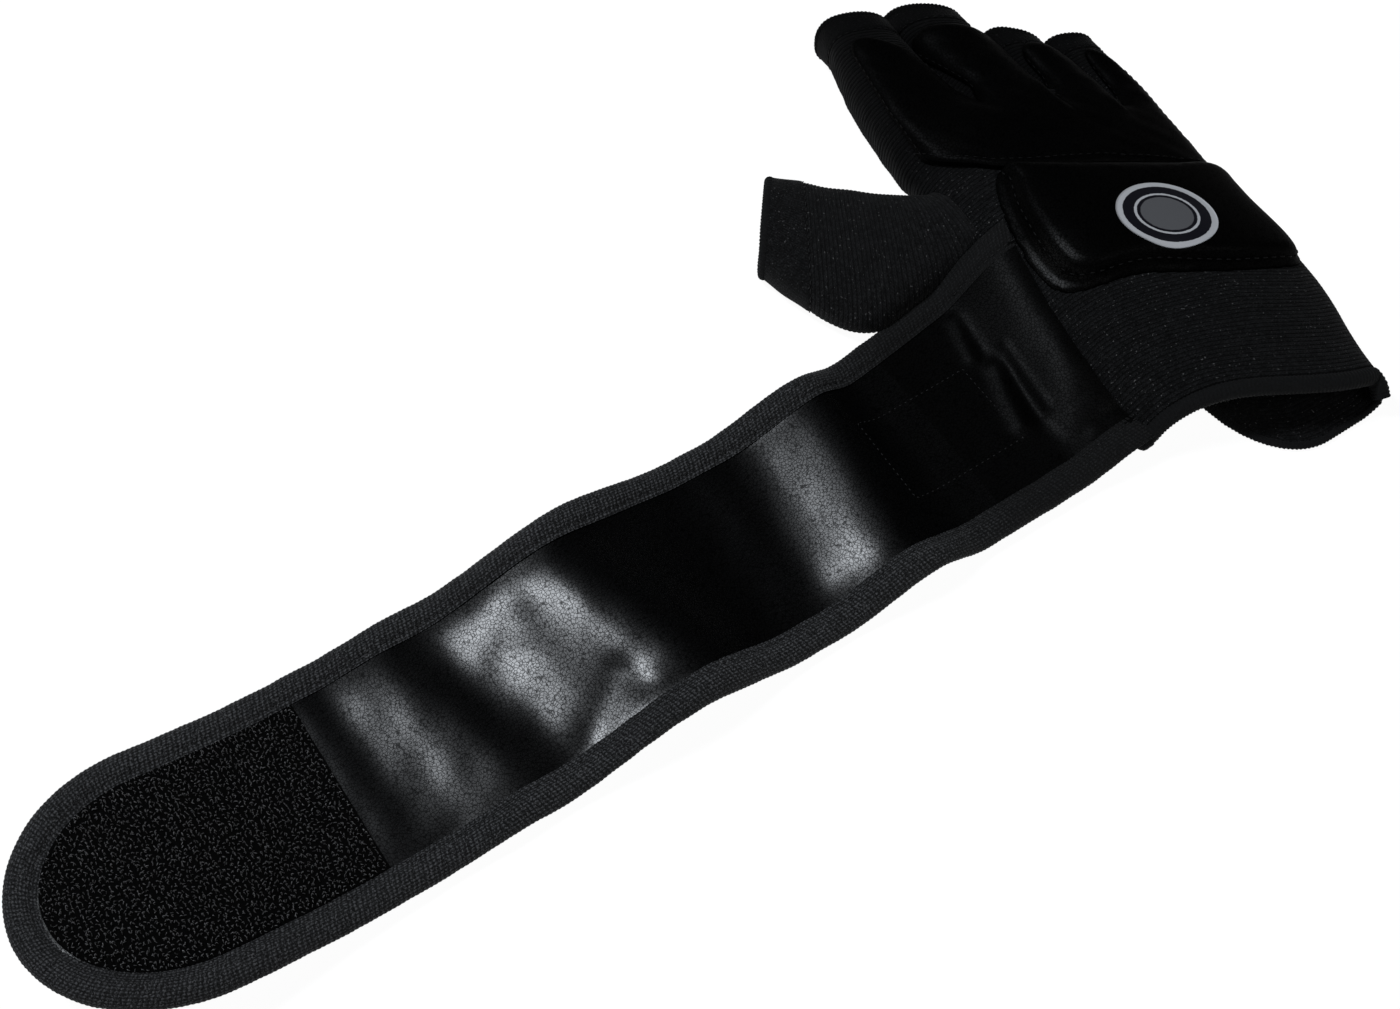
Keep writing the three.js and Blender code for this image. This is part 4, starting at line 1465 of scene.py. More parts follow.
@dataclass(frozen=True)
class FingerSleeves:
    """Four open knit sleeves with folded ends."""

    shop: Workshop
    columns: int = 64
    rib: float = 1.3
    root: float = 14.0
    roof_gap: float = 0.1
    roof_zone: Plan = (-1.0, 9.0)
    sink: float = 0.12
    sink_past: float = 2.0
    quiet: float = 0.85
    hem_clear: float = 0.2
    end: FoldedEnd = FoldedEnd(6.0, (0.3, 0.6), 0.25, 18.0, 8, 0.2)

    def build(self) -> None:
        """Knit each sleeve, sew its band and roll its end."""
        for finger in FINGERS:
            self.sleeve(finger)

    def sleeve(self, finger: Finger) -> None:
        """Make one finger's sleeve.

        Args:
            finger: The finger.
        """
        knit = KnitTube(pitch=self.rib)
        start = finger.knuckle - self.root
        angle = round_angles(self.columns)
        end = finger.end_at(ROUND.across(angle))
        share = np.linspace(0.0, 1.0, knit.rows(finger.end - start))[:, None]
        y = between(start, end, share)
        points = finger.ring(angle + 0.0 * y, y)
        above = points[..., 2] > HAND.seam
        roof = HAND.back(points[..., 0], y) - self.roof_gap
        near = 1.0 - ease(y - finger.knuckle, *self.roof_zone)
        lowered = np.minimum(points[..., 2], between(points[..., 2], roof, near))
        points[..., 2] = np.where(above, lowered, points[..., 2])
        left = (1.0 - share) * (finger.end - start) + 0.0 * angle
        points, normals, band = self.end.fold(points, left)
        sunk = self.sink * (1.0 - ease(y, start, finger.knuckle + self.sink_past))
        points = points + (points.mean(axis=1, keepdims=True) - points) * sunk[..., None]
        piece = knit.make(f"{finger.name}_knit", points, self.quiet * band)
        carrier = finger.crossing()
        place(piece, carrier, Slot.KNIT, (f"{finger.name}_sleeve",))
        seam = self.end.seam(points, normals, left)
        self.shop.sew(f"{finger.name}_band_stitches", seam, carrier, Slot.HEM, DARK_THREAD)
        radius = self.end.hem_radius
        path = self.end.hem_path(points, normals, math.pi / 2)
        path[:, 2] = np.maximum(path[:, 2], radius + self.hem_clear)
        self.shop.hem(path, radius, f"{finger.name}_finger", f"{finger.name}_hem", True, SHADED_FINGER_HEM)


@dataclass(frozen=True)
class ThumbSleeve:
    """The thumb's knit sleeve, which leaves the hand's side and turns forwards."""

    shop: Workshop
    root_x: float = -42.6
    root_y: float = 22.0
    root_length: float = 31.0
    reach_x: float = 44.5
    reach_y: float = 35.0
    end_width: float = 35.0
    direction: float = 141.0
    root_height: float = 19.0
    end_height: float = 16.7
    seam_share: float = 0.42
    lift: float = 1.2
    clear: float = 0.2
    root_dip: float = 5.0
    bow: float = 5.0
    bow_reach: float = 1.07
    strap_overlap: float = 1.2
    inside: float = 9.0
    length: float = 70.0
    columns: int = 84
    samples: int = 801
    quiet: float = 0.8
    turn_zone: tuple[Triple, Triple] = ((-40.0, 37.5, 0.0), (-58.0, 37.5, 0.0))
    end: FoldedEnd = FoldedEnd(14.0, (0.4, 0.5), 0.35, 24.0, 12, 0.25)

    def edges(self, share: Array) -> tuple[Array, Array]:
        """Plan points of the sleeve's two edges.

        Args:
            share: From 0 at the hand to 1 at the end, and below 0 inside the hand.

        Returns:
            Points on the strap side and on the finger side.
        """
        turn = math.radians(self.direction)
        across = np.array([math.sin(turn), -math.cos(turn)])
        end = np.array([self.root_x - self.reach_x, self.root_y + self.root_length / 2 + self.reach_y])
        bends = [
            np.array([self.root_x, self.root_y]),
            np.array([self.root_x - self.reach_x, self.root_y - self.bow]),
            np.array([self.root_x - self.bow_reach * self.reach_x, self.root_y]),
            end - across * self.end_width / 2,
        ]
        t = np.clip(share, 0.0, 1.0)[..., None]
        weights = ((1 - t) ** 3, 3 * (1 - t) ** 2 * t, 3 * (1 - t) * t**2, t**3)
        lower = sum(weight * bend for weight, bend in zip(weights, bends))
        beside = STRAP.edge(STRAP.fold_x - lower[..., 0], 1.0) - self.strap_overlap
        lower[..., 1] = np.maximum(lower[..., 1], beside)
        top = np.array([self.root_x, self.root_y + self.root_length])
        upper = between(top, end + across * self.end_width / 2, t)
        inside = np.stack([-np.clip(share, None, 0.0), 0.0 * share], -1) * self.inside
        return lower + inside, upper + inside

    def build(self) -> None:
        """Knit the sleeve, sew its band and roll its end."""
        knit = KnitTube(finish=KNIT)
        samples = np.linspace(-1.0, 1.0, self.samples)
        walked = run_length(sum(self.edges(samples)) / 2)
        even = np.linspace(0.0, 1.0, knit.rows(self.length))
        share = np.interp(even, walked / walked[-1], samples)[:, None]
        angle = round_angles(self.columns)
        lower, upper = self.edges(share)
        t = np.clip(share, 0.0, 1.0)
        base = self.lift * t + self.clear
        crown = between(self.root_height, self.end_height, t) - self.root_dip * ease(-share, 0.2, 1.0)
        seam = base + self.seam_share * (crown - base)
        points = ROUND.ring(angle + 0.0 * share, lower, upper, base, seam, crown)
        length = run_length(points[:, self.columns // 4])
        left = (length[-1] - length)[:, None] + 0.0 * angle
        points, normals, band = self.end.fold(points, left)
        carrier = Crossing("hand", "thumb", *self.turn_zone)
        place(knit.make("thumb_knit", points, self.quiet * band), carrier, Slot.KNIT, ("thumb_sleeve",))
        self.shop.sew("thumb_band_stitches", self.end.seam(points, normals, left), carrier, Slot.HEM)
        path = self.end.hem_path(points, normals, math.radians(self.direction))
        self.shop.hem(path, self.end.hem_radius, "thumb", "thumb_hem")


# Leather on the back of the hand


@dataclass(frozen=True)
class Slit:
    """A slit between two finger lobes."""

    root: Plan
    outer: Plan
    half_gap: float = 2.6
    opening: float = 9.0

    def middle(self, y: Array) -> Array:
        """Place of the slit's middle line, which runs straight on past its outer end."""
        slope = (self.outer[0] - self.root[0]) / (self.outer[1] - self.root[1])
        return self.root[0] + slope * np.clip(y - self.root[1], 0.0, None)

    def gap(self, y: Array) -> Array:
        """Half its width: nothing before the root."""
        return self.half_gap * ease(y, self.root[1], self.root[1] + self.opening)


SEAM_LINE: Line = (
    (-38.2, 67.0), (-37.2, 60.0), (-33.5, 54.0), (-28.0, 48.0), (-21.0, 41.0), (-7.0, 32.5), (8.4, 24.6),
    (24.0, 16.0), (38.0, 8.5),
)
SLITS = (
    Slit((-9.0, 68.0), (-13.2, 92.6)),
    Slit((12.0, 58.4), (13.0, 80.0), 2.2),
    Slit((28.3, 43.0), (30.5, 63.8), 2.2),
)


@dataclass(frozen=True)
class KnucklePanel:
    """Padded leather over the knuckles, slit into four lobes, one stripe to a finger."""

    shop: Workshop
    lift: float = 0.9
    puff: float = 1.9
    lobe_puff: float = 1.0
    roll: float = 3.6
    back_off: tuple[float, ...] = (10.0, 9.5, 9.0, 8.5)
    tip_depth: float = 11.0
    tip_power: float = 2.3
    rows: int = 100
    columns: int = 34
    seam_points: int = 200
    arch_width: float = 1.22
    arch_zone: Plan = (-8.0, 14.0)
    puff_zone: Plan = (-4.0, 20.0)
    slit_blend: float = 3.0
    rear_slope: float = 1.2
    rear_rise: float = 0.8
    ripple: float = 0.25
    foot: float = 0.15
    thread_lift: float = 0.12
    thread_width: float = 0.35
    thread_inset: int = 4
    lobe_start: float = 0.62
    thumb_side: Line = ((50.0, -37.5), (58.0, -37.8), (80.0, -36.6), (106.0, -32.3))
    little_side: Line = ((8.0, 37.5), (45.0, 40.2), (66.0, 40.0))

    def past_slit(self, number: int, x: Array, y: Array) -> Array | float:
        """Tell how far points lie past a slit.

        Args:
            number: Number of the slit. All points lie past -1, and none past the number after the last.
            x: Places across the hand.
            y: Places along the hand.

        Returns:
            0 before the slit, 1 past it.
        """
        if number < 0 or number == len(SLITS):
            return float(number < 0)
        middle = SLITS[number].middle(y)
        return ease(x, middle - self.slit_blend, middle + self.slit_blend)

    def knit_top(self, x: Array, y: Array) -> Array:
        """Find the height of the knit below: the hand's arch, and each finger's beyond its knuckle.

        Args:
            x: Places across the hand.
            y: Places along the hand.

        Returns:
            Heights over those plan points.
        """
        total, weight = 0.0, 0.0
        for number, finger in enumerate(FINGERS):
            left, right = finger.sides(y)
            middle, half = (left + right) / 2.0, (right - left) / 2.0 * self.arch_width
            crown = finger.crown(y)
            seam = finger.seam_share * crown
            arch = seam + (crown - seam) * ROUND.arch((x - middle) / half)
            lead = ease(y - finger.knuckle, *self.arch_zone)
            share = np.clip(self.past_slit(number - 1, x, y) - self.past_slit(number, x, y), 0.0, 1.0)
            total = total + between(HAND.back(x, y), arch, lead) * share
            weight = weight + share
        return total / np.maximum(weight, TINY)

    def borders(self, number: int, y: Array) -> tuple[Array, Array]:
        """Left and right edge of a stripe.

        Args:
            number: Number of the finger, from the thumb side.
            y: Places along the finger.

        Returns:
            The two edges' x.
        """
        if number == 0:
            left = np.interp(y, *zip(*self.thumb_side))
        else:
            left = SLITS[number - 1].middle(y) + SLITS[number - 1].gap(y)
        if number == len(SLITS):
            right = np.interp(y, *zip(*self.little_side))
        else:
            right = SLITS[number].middle(y) - SLITS[number].gap(y)
        return left, right

    def edge_distance(
        self, number: int, x: Array, y: Array, tip: Array, rear: Array
    ) -> Array:
        """Measure from points to the nearest free edge of their stripe.

        Args:
            number: Number of the finger, from the thumb side.
            x: Places across the hand.
            y: Places along the hand.
            tip: End of the lobe at each point's column.
            rear: Rear seam at each point's column.

        Returns:
            Distances, with those to the rear seam scaled.
        """
        left, right = self.borders(number, y)
        near = [tip - y, self.rear_slope * (y - rear) + self.rear_rise]
        for slit, inside in ((number - 1, x - left), (number, right - x)):
            if 0 <= slit < len(SLITS):
                inside = np.hypot(np.clip(SLITS[slit].root[1] - y, 0.0, None), inside)
            near.append(inside)
        return np.clip(np.minimum.reduce(near), 0.0, None)

    def build(self) -> None:
        """Cut, pad and sew the four stripes."""
        seam = through(SEAM_LINE, self.seam_points, False)
        for number, finger in enumerate(FINGERS):
            self.stripe(number, finger, seam)

    def stripe(self, number: int, finger: Finger, seam: Array) -> None:
        """Make one finger's stripe from the seam to the tip of its lobe.

        Args:
            number: Number of the finger, from the thumb side.
            finger: The finger.
            seam: Plan points of the panel's rear seam.
        """
        u = (0.5 - 0.5 * np.cos(np.linspace(0.0, math.pi, self.columns)))[None, :]
        v = np.linspace(0.0, 1.0, self.rows)[:, None]
        across = 2.0 * u - 1.0
        arch = (1.0 - np.abs(across) ** self.tip_power) ** (1.0 / self.tip_power)
        round_tip = finger.end_at(across) - self.back_off[number] - self.tip_depth * (1.0 - arch)
        rear = np.zeros_like(u)
        for _ in range(4):
            left, right = self.borders(number, rear)
            rear = np.interp(between(left, right, u), seam[:, 0], seam[:, 1])
        y = between(rear, round_tip, v)
        left, right = self.borders(number, y)
        x = between(left, right, u)
        reach = np.clip(self.edge_distance(number, x, y, round_tip + 0.0 * y, rear) / self.roll, 0.0, 1.0)
        rise = np.sqrt(1.0 - (1.0 - reach) ** 2)
        puff = between(self.puff, self.lobe_puff, ease(y - finger.knuckle, *self.puff_zone))
        base = self.knit_top(x, y)
        ripple = self.ripple * wobble(np.stack([x, y, 0.0 * x], -1), wave=16.0, seed=21)
        top = np.stack([x, y, base + self.lift + (puff + ripple) * rise], -1)
        under = np.stack([x, y, base + self.foot], -1)
        piece = HAND_LEATHER.dress(shell(f"{finger.name}_leather", top, under, Shape.SHEET, crisp=True))
        replaced = [f"{finger.name}_lobe"]
        if number == 0:
            replaced += ["knuckle_cover", "knuckle_foam"]
        carrier = finger.crossing()
        place(piece, carrier, Slot.LEATHER, replaced)
        name, lines = f"{finger.name}_leather_stitches", self.sewing(number, top)
        self.shop.sew(name, lines, carrier, Slot.LEATHER, DARK_THREAD, Width=self.thread_width * MM)

    def sewing(self, number: int, top: Array) -> list[Array]:
        """Lay stitches just inside a stripe's rear seam and its lobe.

        Args:
            number: Number of the finger, from the thumb side.
            top: The stripe's upper side.

        Returns:
            A line along the seam and one along each side.
        """
        raised = top + np.array([0.0, 0.0, self.thread_lift])
        inset, lobe = self.thread_inset, int(self.rows * self.lobe_start)
        left = raised[lobe if number > 0 else inset : -inset, 2]
        right = raised[lobe if number < len(SLITS) else inset : -inset, -3]
        return [raised[inset], left, right]


@dataclass(frozen=True)
class Filling:
    """How a pad's cover swells as cloth under pressure, in millimetres where it is a length."""

    voxel: float = 1.2
    pressure: float = 4.0
    cap: float = 1.4
    stiffness: float = 20.0
    bending: float = 2.0
    frames: int = 20


@dataclass(frozen=True)
class BackPad:
    """The thick pad on the back of the hand, its sewn flange and the plain oval print."""

    shop: Workshop
    filling: Filling = Filling()
    foam: float = 6.0
    seat: float = 1.2
    buried: float = 1.0
    roll: float = 6.0
    roll_power: float = 2.4
    crown: float = 0.6
    flange: float = 3.6
    flange_least: float = 0.4
    flange_gap: Plan = (3.0, 9.0)
    held_above: float = 0.5
    rings: int = 44
    columns: int = 180
    thread_points: int = 400
    thread_inset: float = 0.5
    thread_lift: float = 0.1
    rest_centre: Plan = (2.0, 3.0)
    badge_centre: Plan = (4.6, -3.0)
    badge_half: Plan = (15.5, 12.0)
    badge_turn: float = -43.0
    badge_columns: int = 96
    badge_rings: int = 16
    badge_lift: float = 0.22
    badge_thickness: float = 0.5
    outline: Line = (
        (-24.0, 41.0), (-29.5, 33.0), (-33.0, 22.0), (-35.6, 8.0), (-34.5, -2.6), (-27.5, -8.2),
        (-12.0, -12.6), (3.0, -21.0), (17.0, -28.0), (34.0, -32.8), (38.6, -27.5), (39.2, -10.0),
        (39.0, 6.8), (24.0, 14.4), (8.4, 23.0), (-7.0, 31.0), (-17.0, 37.2),
    )

    def shape(self) -> tuple[Array, Array]:
        """Top and bottom of the pad before it swells.

        Returns:
            Rows from the middle to the edge, x columns x 3, for each.
        """
        edge = through(self.outline, self.columns, True)
        centre = np.array(self.rest_centre)
        reach = np.sin(np.linspace(0.02, math.pi / 2, self.rings))[:, None, None]
        plan = centre + (edge[None] - centre) * reach
        x, y = plan[..., 0], plan[..., 1]
        back = HAND.back(x, y)
        inside = (1.0 - reach[..., 0]) * np.linalg.norm(edge - centre, axis=1)
        foot = np.clip((inside - self.flange_width(edge)) / self.roll, 0.0, 1.0)
        rise = (1.0 - (1.0 - foot) ** self.roll_power) ** 0.5
        crown = self.crown * (1.0 - reach[..., 0] ** 2)
        top = np.stack([x, y, back + self.seat + self.foam * rise + crown], -1)
        bottom = np.stack([x, y, back - self.buried], -1)
        return top, bottom

    def flange_width(self, edge: Array) -> Array:
        """Find the width of the flat sewn edge: wide on the thumb side, thin along the knuckle panel.

        Args:
            edge: Points of the outline.

        Returns:
            The width at each of them.
        """
        x, y = edge.T
        gap = np.interp(x, *zip(*SEAM_LINE)) - y
        narrow = 0.5 * ease(x, -30.0, -10.0) + 0.2 * ease(x, 28.0, 35.0)
        return self.flange * ease(gap, *self.flange_gap) * (1.0 - narrow) + self.flange_least

    def build(self) -> None:
        """Swell the pad, sew its flange and print the oval."""
        top, bottom = self.shape()
        piece = self.closed("back_pad", top, bottom)
        swell(piece, self.filling, self.sewn_down)
        HAND_LEATHER.dress(piece)
        place(piece, "hand", Slot.LEATHER, ("back_pad_cover", "back_pad_foam"))
        surface = BVHTree.FromPolygons(
            [v.co for v in piece.data.vertices], [list(p.vertices) for p in piece.data.polygons]
        )
        self.sew_edge(surface)
        self.add_badge(surface)

    def sewn_down(self, points: Array) -> Array:
        """True for points of the pad that its sewing holds."""
        return points[:, 2] < HAND.back(points[:, 0], points[:, 1]) + self.seat + self.held_above

    def drop(self, surface: BVHTree, x: Array, y: Array) -> Array:
        """Heights of the pad's top over plan points.

        Args:
            surface: The pad.
            x: Places across the hand.
            y: Places along the hand.

        Returns:
            Heights in millimetres.
        """
        heights = np.zeros_like(x)
        above, down = 60.0, Vector((0.0, 0.0, -1.0))
        for spot in np.ndindex(*x.shape):
            hit = surface.ray_cast(Vector((x[spot], y[spot], above)) * MM, down)[0]
            heights[spot] = hit.z / MM if hit else HAND.back(x[spot], y[spot]) + self.seat
        return heights

    @staticmethod
    def closed(name: str, top: Array, bottom: Array) -> Piece:
        """Close two round grids into one body, with a fan in the middle of each.

        Args:
            name: Name of the piece.
            top: Rows from the middle to the edge, x columns x 3.
            bottom: The same for the underside.

        Returns:
            The closed piece.
        """
        rows, columns = top.shape[:2]
        half = rows * columns
        points = np.concatenate(
            [top.reshape(-1, 3), bottom.reshape(-1, 3), top[:1].mean(axis=1), bottom[:1].mean(axis=1)]
        )
        here = np.arange(columns)
        after = (here + 1) % columns
        rim = (rows - 1) * columns
        faces = [
            grid_faces(rows, columns, Shape.TUBE),
            half + grid_faces(rows, columns, Shape.TUBE)[:, ::-1],
            np.stack([rim + after, rim + here, half + rim + here, half + rim + after], -1),
        ]
        mesh_faces = np.concatenate(faces).tolist()
        mesh_faces += [[2 * half, b, a] for a, b in zip(here.tolist(), after.tolist())]
        mesh_faces += [[2 * half + 1, half + a, half + b] for a, b in zip(here.tolist(), after.tolist())]
        mesh = bpy.data.meshes.new(name)
        mesh.from_pydata((points * MM).tolist(), [], mesh_faces)
        face_outwards(mesh)
        mesh.shade_smooth()
        return new_object(name, mesh)

    def sew_edge(self, surface: BVHTree) -> None:
        """Sew along the foot of the pad's bulge.

        Args:
            surface: The pad, to lay the thread on.
        """
        edge = through(self.outline, self.thread_points, True)
        inward = unit(np.array(self.rest_centre) - edge)
        width = self.flange_width(edge)
        line = (edge + inward * (width + self.thread_inset)[:, None])[width > 0.4 * self.flange]
        x, y = line.T
        points = np.stack([x, y, self.drop(surface, x, y) + self.thread_lift], -1)
        sizes = {"Pitch": 3.0 * MM, "Length": 1.9 * MM, "Width": 0.6 * MM}
        self.shop.sew("pad_stitches", [points], "hand", Slot.LEATHER, DARK_THREAD, **sizes)

    def add_badge(self, surface: BVHTree) -> None:
        """Lay the oval on the pad.

        Args:
            surface: The finished pad.
        """
        turn = math.radians(self.badge_turn)
        angle = round_angles(self.badge_columns)
        reach = np.linspace(0.0, 1.0, self.badge_rings)[:, None] ** 0.8
        reach[0] = 0.01
        disc = np.stack([reach * np.cos(angle), reach * np.sin(angle)], -1)
        along, across = self.badge_half[0] * disc[..., 0], self.badge_half[1] * disc[..., 1]
        x = self.badge_centre[0] + along * math.cos(turn) - across * math.sin(turn)
        y = self.badge_centre[1] + along * math.sin(turn) + across * math.cos(turn)
        top = np.stack([x, y, self.drop(surface, x, y) + self.badge_lift], -1)
        piece = self.closed("badge_print", top, top - np.array([0.0, 0.0, self.badge_thickness]))
        # The chart is a round of radius 1 mm: the points of the top, of the bottom, and their two middles
        flat = np.concatenate([*disc, *disc, np.zeros((2, 2))]) * MM
        chart = piece.data.uv_layers.new(name=CHART)
        for loop in piece.data.loops:
            chart.data[loop.index].uv = flat[loop.vertex_index]
        PRINT.dress(piece)
        place(piece, "hand", Slot.PRINT, ("badge",))


def face_outwards(mesh: bpy.types.Mesh) -> None:
    """Turn the faces of a closed mesh outwards.

    Args:
        mesh: The mesh.
    """
    volume = 0.0
    mesh.calc_loop_triangles()
    for triangle in mesh.loop_triangles:
        a, b, c = (mesh.vertices[i].co for i in triangle.vertices)
        volume += a.dot(b.cross(c))
    if volume < 0:
        mesh.flip_normals()


def swell(piece: Piece, filling: Filling, held: Callable[[Array], Array]) -> None:
    """Fill a pad: remesh it evenly and let its cover swell as cloth under pressure.

    Args:
        piece: The pad, as a closed mesh.
        filling: Size of the even faces, pressure, stiffness and greatest movement of a point.
        held: Tells, from points in millimetres, which of them stay sewn down.
    """
    scene = bpy.context.scene
    bpy.context.view_layer.objects.active = piece
    remesh = piece.modifiers.new("even", "REMESH")
    remesh.mode = "VOXEL"
    remesh.voxel_size = filling.voxel * MM
    remesh.use_smooth_shade = True
    settle(piece)
    before = corner_points(piece.data)
    sewn = np.flatnonzero(held(before / MM))
    group = piece.vertex_groups.new(name="sewn")
    group.add(sewn.tolist(), 1.0, "REPLACE")
    cloth = piece.modifiers.new("cover", "CLOTH")
    cloth.settings.use_pressure = True
    cloth.settings.uniform_pressure_force = filling.pressure
    cloth.settings.tension_stiffness = filling.stiffness
    cloth.settings.compression_stiffness = filling.stiffness
    cloth.settings.bending_stiffness = filling.bending
    cloth.settings.vertex_group_mass = group.name
    cloth.settings.effector_weights.gravity = 0.0
    cloth.point_cache.frame_start = 1
    cloth.point_cache.frame_end = filling.frames
    for number in range(1, filling.frames + 1):
        scene.frame_set(number)
    settle(piece)
    scene.frame_set(1)
    moved = corner_points(piece.data) - before
    length = np.linalg.norm(moved, axis=1, keepdims=True)
    moved *= np.minimum(1.0, filling.cap * MM / np.maximum(length, TINY))
    piece.data.vertices.foreach_set("co", (before + moved).astype(np.float32).ravel())
    piece.vertex_groups.clear()
    smooth = piece.modifiers.new("smooth", "SUBSURF")
    smooth.levels = 1
    smooth.render_levels = 1
    settle(piece)
    piece.data.shade_smooth()


def settle(piece: Piece) -> None:
    """Apply a piece's modifiers to its mesh.

    Args:
        piece: The piece.
    """
    state = bpy.context.evaluated_depsgraph_get()
    mesh = bpy.data.meshes.new_from_object(piece.evaluated_get(state), depsgraph=state)
    old = piece.data
    piece.modifiers.clear()
    piece.data = mesh
    bpy.data.meshes.remove(old)
    mesh.name = piece.name


def corner_points(mesh: bpy.types.Mesh) -> Array:
    """Corner points of a mesh, in metres."""
    return np.array([corner.co for corner in mesh.vertices], float)


# The strap


@dataclass(frozen=True)
class Crease:
    """A fold in the leather along a line, in plan: a ridge, or a valley with a negative height."""

    start: Plan
    end: Plan
    width: float
    height: float

    def relief(self, x: Array, y: Array) -> Array:
        """Find the height that it adds.

        Args:
            x: Places along the strap.
            y: Places across the strap.

        Returns:
            The height at those plan points.
        """
        a, b = np.array(self.start), np.array(self.end)
        along = b - a
        share = np.clip(((x - a[0]) * along[0] + (y - a[1]) * along[1]) / (along @ along), 0.0, 1.0)
        distance = np.hypot(x - a[0] - share * along[0], y - a[1] - share * along[1])
        return self.height * bell(distance, self.width)


CREASES = (
    Crease((-54.4, -4.0), (-56.4, -28.0), 1.2, 0.4),
    Crease((-57.0, -9.0), (-59.5, -28.0), 2.4, -0.5),
    Crease((-60.0, -8.0), (-65.5, -28.0), 3.2, 1.4),
    Crease((-60.0, 13.0), (-63.2, -1.0), 2.4, 1.0),
    Crease((-46.0, -20.0), (-57.0, -39.0), 6.0, 0.5),
    Crease((-51.0, -43.0), (-52.0, -46.0), 2.6, 0.5),
    Crease((-203.0, 14.0), (-221.0, 12.0), 11.0, -0.45),
    Crease((-223.0, -3.0), (-227.0, -9.0), 7.0, -0.45),
    Crease((-208.0, -32.5), (-222.0, -43.0), 5.0, -0.55),
    Crease((-202.0, -40.0), (-201.4, -41.0), 4.5, 0.45),
)


